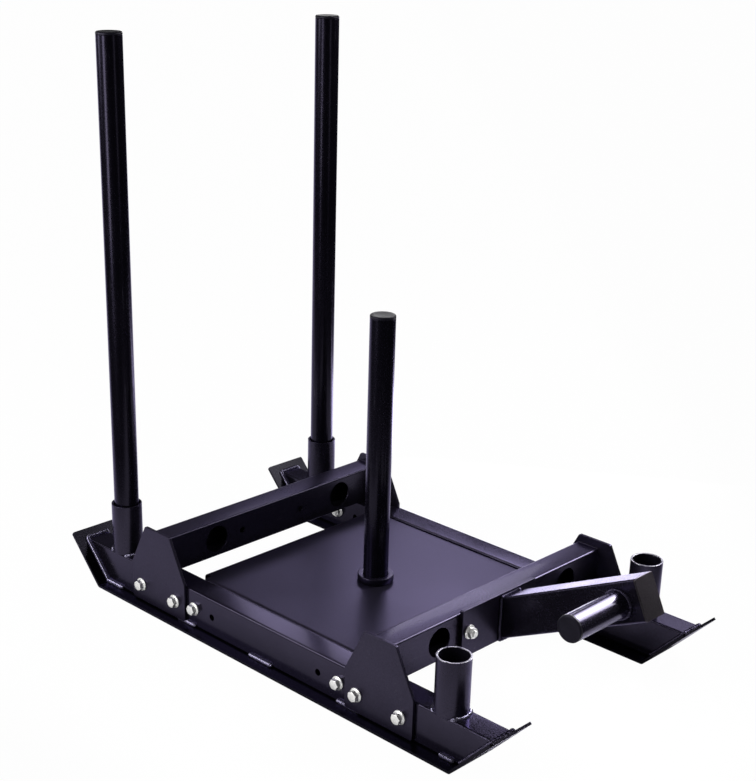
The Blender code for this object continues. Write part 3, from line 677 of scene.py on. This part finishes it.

# Deck tray. One 3 mm sheet folded down on all four sides hangs between the runners, its flanges bolted
# to their inner faces and its corners notched for the folds. Its coat is rougher than the tubes' and
# painted lighter than theirs, as painted light on the deck.
# The deck's coat colour is painted lighter than the other coats: painted light on the deck.
COAT_LIT_DECK = (0.045, 0.0395, 0.067)
TRAY_LENGTH = 0.490
TRAY_SHEET = 0.003
TRAY_BEND = 0.009
TRAY_SIDE_DEPTH = 0.052
TRAY_END_DEPTH = 0.030
TRAY_NOTCH = 0.010
TRAY_EDGE = 0.0005


def fold_line(half, depth):
    """The sheet's outer section from one folded edge to the other, as (place, height)."""
    start = half - TRAY_BEND
    side = [(start - TRAY_NOTCH, 0.0)]
    side += arc((start, -TRAY_BEND), TRAY_BEND, math.pi / 2, 0.0, 8) + [(half, -depth)]
    return [(-place, height) for place, height in reversed(side)] + side


def tray_skin():
    along = fold_line(TRAY_LENGTH / 2, TRAY_END_DEPTH)
    low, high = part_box("deck_tray")
    across = fold_line((high.y - low.y) / 2, TRAY_SIDE_DEPTH)
    flat = len(along) // 2 - 1
    shape = bmesh.new()
    grid = {}
    for i in range(len(along) - 1):
        for j in range(len(across) - 1):
            if flat not in (i, j):
                continue
            corners = []
            for a, b in ((i, j), (i + 1, j), (i + 1, j + 1), (i, j + 1)):
                if (a, b) not in grid:
                    place = (along[a][0], across[b][0], along[a][1] + across[b][1])
                    grid[(a, b)] = shape.verts.new(place)
                corners.append(grid[(a, b)])
            shape.faces.new(corners)
    return smooth_mesh(shape, "tray")


tray_coat = powder_coat("tray_coat", 0.35, gloss=0.0, tone=COAT_LIT_DECK)
centre = middle("deck_tray")
raw = put("tray", tray_skin(), (centre.x, centre.y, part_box("deck_tray")[1].z))
sheet_wall(raw, TRAY_SHEET, -1)
soften(raw, TRAY_EDGE)
fit("tray_sheet", baked(raw), tray_coat, "sled_frame", "tray_coat", "deck_tray")

# Weight post. A pipe of 48.3 mm stands on the deck in a low turned collar and takes plates with a 50 mm
# bore. A black plastic plug closes its top.
WEIGHT_POST_LENGTH = 0.526
COLLAR_RADIUS = 0.035
COLLAR_HEIGHT = 0.0135
COLLAR_EDGE = 0.0018
COLLAR_SLIP = 0.0005
COLLAR_CHAMFER = 0.0004

# The weight post takes the same darker coat colour, painted shade.
weight_post_coat = powder_coat("weight_post_coat", POST_SHEEN, lanes=POST_LANES, tone=COAT_SHADED_POSTS)
collar_coat = powder_coat("collar_coat", 0.30)
foot = foot_of("weight_post")
mesh = turned("post", pipe_profile(WEIGHT_POST_LENGTH), foot)
fit("weight_pipe", mesh, weight_post_coat, "sled_frame", "weight_post_coat", "weight_post")
mesh = turned("plug", plug_profile(WEIGHT_POST_LENGTH), foot, closed=False)
fit("weight_plug", mesh, plug_plastic, "sled_frame", "plug_plastic", "weight_post_cap")
collar_bore = PIPE_RADIUS + COLLAR_SLIP
profile = [(collar_bore, 0.0), (collar_bore, COLLAR_HEIGHT - COLLAR_CHAMFER),
           (collar_bore + COLLAR_CHAMFER, COLLAR_HEIGHT)]
profile += arc((COLLAR_RADIUS - COLLAR_EDGE, COLLAR_HEIGHT - COLLAR_EDGE), COLLAR_EDGE, math.pi / 2, 0.0, 5)
profile += [(COLLAR_RADIUS, 0.0)]
mesh = turned("collar", profile, foot)
fit("collar_ring", mesh, collar_coat, "sled_frame", "collar_coat", "post_collar")

# Bracket plate. A plate of 8 mm is bolted to the front face of the front crossbeam and carries the arm,
# with its top edge standing a little above the beam.
BRACKET_PLATE = 0.008
BRACKET_CORNER = 0.003
BRACKET_EDGE = 0.0008


def stood_up(x):
    """Turns a flat plate upright across the sled: its own X to the left, its own Y up."""
    return Matrix(((0, 0, 1, x), (1, 0, 0, 0), (0, 1, 0, 0), (0, 0, 0, 1)))


bracket_coat = powder_coat("bracket_coat", 0.33)
low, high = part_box("bracket_plate")
centre = middle("bracket_plate")
beam_z = middle("crossbeam_front").z
corners = [(low.y, low.z), (high.y, low.z), (high.y, high.z), (low.y, high.z)]
loops = [rounded_outline(corners, BRACKET_CORNER)]
loops += [circle((y, beam_z), HOLE_DIAMETER) for y in BRACKET_HOLES_Y]
mesh = plate_mesh("bracket", loops, BRACKET_PLATE, BRACKET_EDGE)
mesh.transform(stood_up(centre.x))
fit("bracket", mesh, bracket_coat, "sled_frame", "bracket_coat", "bracket_plate")

# Arm. Box tube rises forward at 26 degrees from the bracket plate, cut upright at its foot and closed by
# a welded plate at its end. A plugged peg of 48.3 mm pipe sticks out of its right side.
ARM_ANGLE = math.radians(26.0)
ARM_LENGTH = 0.317
ARM_Y = 0.017
ARM_FOOT_DROP = 0.004
ARM_CAP = 0.004
ARM_CAP_EDGE = 0.0006
ARM_EDGE = 0.0003
PEG_LENGTH = 0.129
PEG_SET_BACK = 0.044

arm_coat = powder_coat("arm_coat", 0.25, lanes=(60, 300, 300), peel=0.000008, gloss=0.0)
# The end cap's coat is painted a lighter, warmer grey: partly dust, partly painted light on the end.
cap_coat = powder_coat("cap_coat", 0.36, tone=(0.060, 0.053, 0.058))
peg_coat = powder_coat("peg_coat", 0.25, lanes=(300, 20, 300), peel=0.000006, gloss=0.40)
arm_foot = Vector((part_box("bracket_plate")[1].x + SEAT_GAP, ARM_Y, beam_z - ARM_FOOT_DROP))
arm_frame = Matrix.Translation(arm_foot) @ Matrix.Rotation(-ARM_ANGLE, 4, "Y")
mesh = box_tube(RUNNER_WIDTH, RUNNER_HEIGHT, (0.0, ARM_LENGTH))
for vertex in mesh.vertices:
    if vertex.co.x < ARM_LENGTH / 2:
        vertex.co.x = vertex.co.z * math.tan(ARM_ANGLE)
raw = put("arm", mesh)
sheet_wall(raw, TUBE_WALL, -1)
soften(raw, ARM_EDGE)
mesh = baked(raw)
mesh.transform(arm_frame)
fit("arm", mesh, arm_coat, "sled_frame", "arm_coat", "arm_tube")
section = rounded_rectangle(RUNNER_WIDTH, RUNNER_HEIGHT, TUBE_RADIUS)
mesh = plate_mesh("arm_cap", [section], ARM_CAP, ARM_CAP_EDGE)
mesh.transform(arm_frame @ stood_up(ARM_LENGTH + SEAT_GAP + ARM_CAP / 2))
fit("arm_cap", mesh, cap_coat, "sled_frame", "arm_coat", "arm_end_cap")
peg_foot = arm_frame @ Vector((ARM_LENGTH - PEG_SET_BACK, -RUNNER_WIDTH / 2 - SEAT_GAP, 0.0))
peg_frame = Matrix.Translation(peg_foot) @ Matrix.Rotation(math.pi / 2, 4, "X")
mesh = turned("peg", pipe_profile(PEG_LENGTH))
mesh.transform(peg_frame)
fit("peg", mesh, peg_coat, "sled_frame", "arm_coat", "peg_tube")
mesh = turned("plug", plug_profile(PEG_LENGTH), closed=False)
mesh.transform(peg_frame)
fit("peg_plug", mesh, plug_plastic, "sled_frame", "plug_plastic", "peg_cap")

# Flanged bolts and nuts. Zinc-plated M12 fasteners with 18 mm hexagons hold the gussets, the tray and the
# bracket. Each head is chamfered, each nut shows two turns of the bolt's thread, and none is turned alike.
HEX_ACROSS = 0.018
HEAD_HEIGHT = 0.012
FLANGE_WIDE = 0.0130
FLANGE_TOP = 0.0085
FLANGE_HEIGHT = 0.0042
SHANK_RADIUS = 0.0060
THREAD_PITCH = 0.00175
BOLT_PROTRUSION = 0.004
HEAD_CROWN = 0.47
HEAD_SLOPE = 1.9
FLANGE_SLOPE = 1.875
SHANK_UNDER = 0.0005
SHANK_SUNK = 0.0002
NUT_SLIP = 0.0003
THREAD_RIDGE = 0.00045
THREAD_TURNS = 3.0
THREAD_BACK = 0.0009
GUSSET_GRIP = 0.0563
TRAY_GRIP = 0.0533
BRACKET_GRIP = 0.0583
FASTENER_CREASE = math.radians(28.0)
NUT_SEED = 9


def cone(net, base, top, depth, sides):
    """A closed cone or drum standing on its place."""
    return net.node("GeometryNodeMeshCone", values={
        "Vertices": sides, "Radius Top": top, "Radius Bottom": base, "Depth": depth})


def rod(net, radius, depth):
    return net.node("GeometryNodeMeshCylinder", values={"Vertices": 32, "Radius": radius, "Depth": depth})


def lowered(net, geometry, height):
    drop = net.node("ShaderNodeCombineXYZ", values={"Z": height})
    return net.node("GeometryNodeTransform", values={"Geometry": geometry, "Translation": drop})


def solid(net, operation, *meshes):
    """Unites or intersects closed meshes, or takes the second from the first."""
    node = net.tree.nodes.new("GeometryNodeMeshBoolean")
    node.operation = operation
    node.solver = "EXACT"
    if operation == "DIFFERENCE":
        net.set(node, {"Mesh 1": meshes[0], "Mesh 2": meshes[1]})
    else:
        for mesh in meshes:
            net.tree.links.new(mesh.socket, node.inputs["Mesh 2"])
    return Wire(net, node.outputs[0])


def fastener_group(name, is_nut):
    """A flanged hexagon on every point, turned to the point's facing, with its thread."""
    net, inputs = node_group(name, {
        "Across Flats": "Float", "Height": "Float", "Shank": "Float", "Grip": "Float", "Pitch": "Float",
        "Seed": "Int", "Finish": "Material"})
    height = inputs["Height"]
    corner = inputs["Across Flats"] / math.sqrt(3.0)
    hexagon = cone(net, corner, corner, height, 6)
    crown = inputs["Across Flats"] * HEAD_CROWN
    chamfer = cone(net, crown + height * HEAD_SLOPE, crown, height, 48)
    drum = solid(net, "INTERSECT", hexagon, chamfer)
    flange = solid(net, "INTERSECT",
                   cone(net, FLANGE_WIDE, FLANGE_WIDE, FLANGE_HEIGHT, 48),
                   cone(net, FLANGE_TOP + FLANGE_HEIGHT * FLANGE_SLOPE, FLANGE_TOP, FLANGE_HEIGHT, 48))
    body = solid(net, "UNION", drum, flange)
    if is_nut:
        body = solid(net, "DIFFERENCE", body, rod(net, inputs["Shank"] + NUT_SLIP, height * 4))
    else:
        length = inputs["Grip"] + height + BOLT_PROTRUSION
        shank = rod(net, inputs["Shank"] - SHANK_UNDER, length)
        shank = lowered(net, shank, length * -0.5 + SHANK_SUNK)
        radius = inputs["Shank"] - THREAD_RIDGE
        thread = net.node("GeometryNodeCurveSpiral", values={
            "Resolution": 20, "Rotations": THREAD_TURNS, "Start Radius": radius, "End Radius": radius,
            "Height": inputs["Pitch"] * THREAD_TURNS})
        ridge = net.node("GeometryNodeCurvePrimitiveCircle", values={
            "Resolution": 5, "Radius": THREAD_RIDGE})
        thread = net.node("GeometryNodeCurveToMesh", values={
            "Curve": thread, "Profile Curve": ridge, "Fill Caps": True})
        thread = lowered(net, thread, length * -1 + THREAD_BACK)
        body = join(net, solid(net, "UNION", body, shank), thread)
    facing = net.node("GeometryNodeInputNamedAttribute", {"data_type": "FLOAT_VECTOR"}, {"Name": "facing"})
    turn = net.node("FunctionNodeAlignRotationToVector", {"axis": "Z"}, {"Vector": facing})
    roll = net.node("FunctionNodeRandomValue", {"data_type": "FLOAT"}, {
        2: 0.0, 3: math.tau, "Seed": inputs["Seed"]})
    spin = net.node("FunctionNodeAxisAngleToRotation", values={"Axis": (0.0, 0.0, 1.0), "Angle": roll[1]})
    turn = net.node("FunctionNodeRotateRotation", {"rotation_space": "LOCAL"}, {
        "Rotation": turn, "Rotate By": spin})
    placed = net.node("GeometryNodeInstanceOnPoints", values={
        "Points": inputs["Geometry"], "Instance": body, "Rotation": turn})
    return close_group(net, placed, inputs["Finish"])


def zinc_plate(name):
    """Bright zinc plate: cold grey with a faint warm cast and small dull spots."""
    material, net, place = new_finish(name)
    cast = noise(net, place, 60.0)
    spots = ((noise(net, place, 520.0, 3.0) - 0.56) * 6).held()
    colour = blend(net, cast, (0.90, 0.91, 0.93, 1.0), (0.93, 0.91, 0.86, 1.0))
    colour = blend(net, spots * 0.5, colour, (0.46, 0.46, 0.48, 1.0))
    net.set(net.tree.nodes["Principled BSDF"], {
        "Base Color": colour, "Metallic": 0.9 - spots * 0.25, "Roughness": spots * 0.25 + 0.42,
        "Normal": bump(net, noise(net, place, 1500.0), 0.00002, 0.6)})
    return material


def fasteners(name, tree, nodes, seats, values):
    """One mesh of like fasteners for their body, from seats of (place, facing)."""
    mesh = bpy.data.meshes.new(name)
    mesh.from_pydata([place for place, facing in seats], [], [])
    facings = mesh.attributes.new("facing", "FLOAT_VECTOR", "POINT")
    for i, (place, facing) in enumerate(seats):
        facings.data[i].vector = facing
    raw = put(name, mesh)
    use_group(raw, tree, values)
    mesh = baked(raw)
    mesh.shade_smooth()
    mesh.set_sharp_from_angle(angle=FASTENER_CREASE)
    fit(name, mesh, fastener_zinc, "sled_frame", "fastener_zinc", *nodes)


fastener_zinc = zinc_plate("fastener_zinc")
bolt_tree = fastener_group("flanged_bolt", False)
nut_tree = fastener_group("flanged_nut", True)
ends = [f"{end}_{side}" for end in ("front", "rear") for side in ("left", "right")]
kinds = {
    "tray": ([f"tray_{end}" for end in ends], TRAY_GRIP),
    "gusset": ([f"gusset_{hole}_{end}" for hole in ("inner", "outer") for end in ends], GUSSET_GRIP),
    "bracket": (["bracket_left", "bracket_right"], BRACKET_GRIP)}
for seed, (kind, (names, grip)) in enumerate(kinds.items()):
    bolt_seats = []
    nut_seats = []
    for name in names:
        bolt_low, bolt_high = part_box(f"bolt_{name}")
        nut_low, nut_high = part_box(f"nut_{name}")
        outwards = Vector((0.0, math.copysign(1.0, bolt_low.y), 0.0))
        away = Vector((-1.0, 0.0, 0.0)) if kind == "bracket" else outwards
        bolt_centre = (bolt_low + bolt_high) / 2
        nut_centre = (nut_low + nut_high) / 2
        reach = abs((bolt_high - bolt_low).dot(away)) / 2
        bolt_seats.append((bolt_centre + away * (reach - HEAD_HEIGHT), away))
        nut_seats.append((nut_centre + away * (HEAD_HEIGHT / 2), -away))
    sizes = {"Across Flats": HEX_ACROSS, "Height": HEAD_HEIGHT, "Shank": SHANK_RADIUS, "Grip": grip,
             "Pitch": THREAD_PITCH, "Seed": seed, "Finish": fastener_zinc}
    fasteners(f"{kind}_bolts", bolt_tree, [f"bolt_{name}" for name in names], bolt_seats, sizes)
    sizes["Seed"] = seed + NUT_SEED
    fasteners(f"{kind}_nuts", nut_tree, [f"nut_{name}" for name in names], nut_seats, sizes)

# Weld beads. The sockets, mitres, skid stitches, beams, arm and peg are MIG welded before coating. Each
# bead is a row of overlapping ripples with tapered ends.
BEAD_WIDE = 0.0048
BEAD_THIN = 0.0019
BEAD_STITCH = 0.0056
BEAD_RIPPLE = 0.0026
BEAD_TAPER = 0.004
BEAD_STEP = 0.0006
BEAD_WANDER = 90.0
BEAD_START = 0.0025
BEAD_LIFT = 0.0004
BEAD_SPREAD = 0.0006
MITRE_BACK = 0.0010
SOCKET_SWEEP = 0.92
SWEEP_STEPS = 24
SOCKET_FLAT = 0.019
SOCKET_FALL = 0.35
STITCH_OUT = 0.0008
STITCH_HEIGHT = 0.0030
BEAM_BACK = 0.0008
BEAM_SPREAD = 0.0004
ARM_SPREAD = 0.0010
ARM_OUT = 0.0008
PEG_SPREAD = 0.0008
STITCHES_X = ((-0.470, -0.417), (-0.241, -0.190), (-0.037, 0.026), (0.193, 0.250), (0.434, 0.467))


def bead_group():
    """A rippled bead along every edge path, thinner towards its ends."""
    net, inputs = node_group("weld_bead", {
        "Radius": "Float", "Ripple": "Float", "Taper": "Float", "Wander": "Float", "Finish": "Material"})
    path = net.node("GeometryNodeMeshToCurve", values={"Mesh": inputs["Geometry"]})
    path = net.node("GeometryNodeResampleCurve", {"mode": "LENGTH"}, {
        "Curve": path, "Length": BEAD_STEP})
    spline = net.node("GeometryNodeSplineParameter")
    whole = net.node("GeometryNodeSplineLength")
    near_end = net.node("ShaderNodeMath", {"operation": "MINIMUM"}, {
        0: spline["Length"], 1: whole["Length"] - spline["Length"]})
    taper = (near_end / inputs["Taper"]).held() * 0.55 + 0.45
    ripple = net.node("ShaderNodeMath", {"operation": "FRACT"}, {0: spline["Length"] / inputs["Ripple"]})
    swell = noise(net, net.node("GeometryNodeInputPosition"), inputs["Wander"]) * 0.5 + 0.75
    scale = inputs["Radius"] * taper * swell * (ripple * ripple * 0.22 + 0.84)
    ring = net.node("GeometryNodeCurvePrimitiveCircle", values={"Resolution": 12, "Radius": 1.0})
    bead = net.node("GeometryNodeCurveToMesh", values={
        "Curve": path, "Profile Curve": ring, "Scale": scale, "Fill Caps": True})
    bead = net.node("GeometryNodeSetShadeSmooth", values={"Geometry": bead, "Shade Smooth": True})
    return close_group(net, bead, inputs["Finish"])


def beads(name, paths, radius, material, slot):
    """One mesh of beads along the paths, each a list of points."""
    points = []
    edges = []
    for path in paths:
        start = len(points)
        points += [tuple(point) for point in path]
        edges += [(start + i, start + i + 1) for i in range(len(path) - 1)]
    mesh = bpy.data.meshes.new(name)
    mesh.from_pydata(points, edges, [])
    raw = put(name, mesh)
    use_group(raw, bead_tree, {
        "Radius": radius, "Ripple": BEAD_RIPPLE, "Taper": BEAD_TAPER, "Wander": BEAD_WANDER,
        "Finish": material})
    fit(name, baked(raw), material, "sled_frame", slot)


def grown_section(spread):
    """The box tube's outline, a little larger."""
    return rounded_rectangle(RUNNER_WIDTH + spread, RUNNER_HEIGHT + spread, TUBE_RADIUS)


bead_tree = bead_group()
# The socket, rear mitre and stitch beads are painted pale lavender with paler spots: painted glints on the
# welds.
weld_glint_coat = powder_coat("weld_glint_coat", 0.17, lanes=(420, 420, 420), peel=0.00008, gloss=0.5,
                         tone=(0.18, 0.167, 0.245), scuff_and_glint=(0.58, 0.56, 0.65, 1.0))
runner_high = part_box("runner_tube_left")[1]
skid_x = middle("skid_plate_left").x
sled_x = middle("weight_post").x
wide_paths = []
front_paths = []
thin_paths = []
stitch_paths = []
for side in ("left", "right"):
    centre = middle(f"runner_tube_{side}")
    section = grown_section(BEAD_SPREAD)
    upper = [(across, up) for across, up in section if up > -RUNNER_HEIGHT / 2 + BEAD_START]
    start = next(i for i in range(len(upper)) if upper[i - 1][0] < 0 < upper[i][0] and upper[i][1] < 0)
    upper = upper[start:] + upper[:start]
    for end, paths in ((1, front_paths), (-1, wide_paths)):
        path = []
        for across, up in upper:
            rise = (up + centre.z - clear) / math.tan(SKID_ANGLE)
            mitre_x = skid_x + end * (SKID_FLAT / 2 + rise - MITRE_BACK)
            path.append((mitre_x, centre.y + across, up + centre.z))
        paths.append(path)
    for end in ("front", "rear"):
        socket = middle(f"post_socket_{end}_{side}")
        for facing in (0.0, math.pi):
            sweep = arc(socket.xy, SOCKET_RADIUS + BEAD_SPREAD, facing - SOCKET_SWEEP,
                        facing + SOCKET_SWEEP, SWEEP_STEPS)
            sag = [max(0.0, abs(y_weld - socket.y) - SOCKET_FLAT) for x_weld, y_weld in sweep]
            wide_paths.append([(x_weld, y_weld, runner_high.z + BEAD_LIFT - drop * SOCKET_FALL)
                               for (x_weld, y_weld), drop in zip(sweep, sag)])
    for start_x, end_x in STITCHES_X:
        for face in (-1, 1):
            if face < 0 and side == "left" and start_x == STITCHES_X[-1][0]:
                continue
            edge = centre.y + face * (RUNNER_WIDTH / 2 + STITCH_OUT)
            stitch_paths.append([(x + sled_x, edge, SKID_PLATE + STITCH_HEIGHT) for x in (start_x, end_x)])
for end in ("front", "rear"):
    centre = middle(f"crossbeam_{end}")
    for y in (-1, 1):
        thin_paths.append([(centre.x + across, y * (BEAM_HALF - BEAM_BACK), centre.z + up)
                           for across, up in grown_section(BEAM_SPREAD)
                           if up > -RUNNER_HEIGHT / 2 + BEAD_START])
arm_ring = [arm_frame @ Vector((up * math.tan(ARM_ANGLE) + ARM_OUT, across, up))
            for across, up in grown_section(ARM_SPREAD)]
peg_ring = [peg_frame @ Vector((x, y, BEAD_LIFT))
            for x, y in circle((0.0, 0.0), 2 * PIPE_RADIUS + PEG_SPREAD)]
arm_paths = [arm_ring + arm_ring[:2], peg_ring + peg_ring[:2]]
beads("wide_beads", wide_paths, BEAD_WIDE, weld_glint_coat, "runner_coat")
beads("front_beads", front_paths, BEAD_WIDE, runner_coat, "runner_coat")
beads("arm_beads", arm_paths, BEAD_WIDE, arm_coat, "arm_coat")
beads("thin_beads", thin_paths, BEAD_THIN, beam_coat, "beam_coat")
beads("skid_stitches", stitch_paths, BEAD_STITCH, weld_glint_coat, "skid_coat")

# Studio. A pale seamless floor, whose mirrored white is a painted pool of light round the sled that fades
# to dark beyond it, with a painted shadow close under the sled, and white surroundings. A tall soft box
# stands at the right side, another at the front and eight small ones round the sled, where its black faces
# mirror them.
# The camera stands where the picture was taken.
FLOOR_REACH = 40
FLOOR_DROP = 0.0005
FLOOR_FADE = 6
FLOOR_PALE = (0.72, 0.72, 0.73, 1.0)
FLOOR_FAR = (0.05, 0.05, 0.055, 1.0)
FLOOR_EDGES = (((1.0, 0.0, 0.0), 0.72), ((0.0, -1.0, 0.0), 0.62), ((0.7071, -0.7071, 0.0), 0.80),
               ((0.7071, 0.7071, 0.0), 0.72))
FLOOR_SHADE = 0.10
FLOOR_SHOWN = 0.985
FLOOR_MIRRORED = 1.00
SURROUND = 0.30
ROOM_DARK = 0.06
BACKDROP_SIDE = (-0.9659, 0.2588, 0.0)
BACKDROP_LOW = 0.03
BACKDROP_FADE = 6


def reach_along(net, place, facing):
    """How far a place lies along a direction."""
    return net.node("ShaderNodeVectorMath", {"operation": "DOT_PRODUCT"}, {0: place, 1: facing})["Value"]


studio_floor = bpy.data.materials.new("studio_floor")
studio_floor.use_nodes = True
net = Net(studio_floor.node_tree)
net.tree.nodes.clear()
rays = net.node("ShaderNodeLightPath")
place = net.node("ShaderNodeTexCoord")["Object"]
# The floor's mirrored white and its colour are a painted pool of light near the sled, dark beyond its
# edges.
near = 1
for facing, edge in FLOOR_EDGES:
    near = (1 - ((reach_along(net, place, facing) - edge) * FLOOR_FADE).held()) * near
spot = net.node("ShaderNodeSeparateXYZ", values={"Vector": place})
beside = [spot[axis].maths("ABSOLUTE", spot[axis]) - reach
          for axis, reach in (("X", cad_box[1][0]), ("Y", cad_box[1][1]))]
beside = beside[0].maths("MAXIMUM", beside[0], beside[1])
pale = blend(net, near, FLOOR_FAR, FLOOR_PALE)
# Painted shadow: the mirrored white fades to nothing under and close to the sled.
near = (beside / FLOOR_SHADE).held() * near
mirrored = (rays["Is Glossy Ray"] + rays["Is Transmission Ray"]).held() * near
share = rays["Is Camera Ray"] * FLOOR_SHOWN + mirrored * FLOOR_MIRRORED
matt = net.node("ShaderNodeBsdfDiffuse", values={"Color": pale})
white = net.node("ShaderNodeEmission", values={"Color": (1.0, 1.0, 1.0, 1.0), "Strength": 1.0})
surface = net.node("ShaderNodeMixShader", values={0: share, 1: matt, 2: white})
net.set(net.tree.nodes.new("ShaderNodeOutputMaterial"), {"Surface": surface})
corners = [(x * FLOOR_REACH, y * FLOOR_REACH, -FLOOR_DROP) for x, y in ((-1, -1), (1, -1), (1, 1), (-1, 1))]
mesh = bpy.data.meshes.new("studio_floor")
mesh.from_pydata(corners, [], [(0, 1, 2, 3)])
mesh.materials.append(studio_floor)
put("studio_floor", mesh)

world = bpy.data.worlds.new("studio_surround")
world.use_nodes = True
net = Net(world.node_tree)
rays = net.node("ShaderNodeLightPath")
mirrored = (rays["Is Glossy Ray"] + rays["Is Transmission Ray"]).held()
heading = net.node("ShaderNodeTexCoord")["Generated"]
height = net.node("ShaderNodeSeparateXYZ", values={"Vector": heading})["Z"]
behind = reach_along(net, heading, BACKDROP_SIDE)
backdrop = (1 - ((height - BACKDROP_LOW) * BACKDROP_FADE).held()) * (behind * 3 + 0.2).held()
shown = backdrop * (1 - ROOM_DARK) + (ROOM_DARK - SURROUND)
net.set(net.tree.nodes["Background"], {
    "Color": (1.0, 1.0, 1.0, 1.0),
    "Strength": rays["Is Camera Ray"] * (1 - SURROUND) + mirrored * shown + SURROUND})
bpy.context.scene.world = world


def soft_box(name, place, aim, size, glow, spread=180.0):
    """A soft box of the given glow, turned towards the aim. A grid may narrow its spread."""
    light = bpy.data.lights.new(name, "AREA")
    light.shape = "RECTANGLE"
    light.size, light.size_y = size
    light.energy = glow * math.pi * size[0] * size[1]
    light.spread = math.radians(spread)
    lamp = put(name, light, place)
    lamp.rotation_euler = (Vector(aim) - Vector(place)).to_track_quat("-Z", "Y").to_euler()
    lamp.visible_camera = False


soft_box("side_box", (-0.40, -2.05, 1.05), (0.0, 0.0, 0.6), (0.5, 1.6), 8.0)
soft_box("front_box", (2.25, -0.18, 1.05), (0.0, 0.0, 0.6), (0.4, 1.6), 1.2)
soft_box("corner_box", (0.45, 1.24, 1.49), (0.0, 0.0, 0.1), (0.7, 0.6), 9.0)
soft_box("near_box", (0.52, 0.60, 0.68), (0.49, -0.07, 0.25), (0.74, 0.50), 3.0, spread=60.0)
soft_box("edge_box", (-1.20, -1.42, 1.45), (0.0, 0.0, 0.1), (0.7, 0.7), 8.0)
soft_box("back_box", (-1.43, 1.93, 1.38), (0.0, 0.0, 0.1), (0.60, 0.30), 8.6)
soft_box("back_fill", (-1.83, 1.59, 1.43), (0.0, 0.0, 0.1), (0.56, 0.42), 2.8)
soft_box("far_box", (-0.79, 2.47, 1.37), (0.0, 0.0, 0.1), (0.4, 0.3), 2.0)
soft_box("low_box", (-0.22, 0.95, 0.09), (0.42, 0.0, 0.23), (0.9, 0.16), 4.4)
soft_box("rear_box", (-1.63, -1.47, 1.05), (0.0, 0.0, 0.1), (0.6, 0.5), 5.0)

CAMERA_SENSOR = 36.0
CAMERA_FOCUS = 1527.782
CAMERA_CENTRE = (338.530, 486.007)
CAMERA_PLACE = (1.805869, -1.957554, 1.365900)
CAMERA_YAW = 2.3534817
CAMERA_PITCH = 0.3866013
CAMERA_ROLL = 0.0184795
PICTURE = (756, 781)

level = math.cos(CAMERA_PITCH)
ahead = Vector((math.cos(CAMERA_YAW) * level, math.sin(CAMERA_YAW) * level, -math.sin(CAMERA_PITCH)))
right = Vector((math.sin(CAMERA_YAW), -math.cos(CAMERA_YAW), 0.0))
lens = bpy.data.cameras.new("camera")
lens.sensor_width = CAMERA_SENSOR
lens.lens = CAMERA_FOCUS * CAMERA_SENSOR / PICTURE[1]
lens.shift_x = (PICTURE[0] / 2 - CAMERA_CENTRE[0]) / PICTURE[1]
lens.shift_y = (CAMERA_CENTRE[1] - PICTURE[1] / 2) / PICTURE[1]
camera = put("camera", lens)
upright = Matrix((right, right.cross(ahead), -ahead)).transposed().to_4x4()
camera.matrix_world = upright @ Matrix.Rotation(CAMERA_ROLL, 4, "Z")
camera.location = CAMERA_PLACE
bpy.context.scene.camera = camera
bpy.context.scene.view_settings.view_transform = "Standard"

bpy.context.view_layer.update()
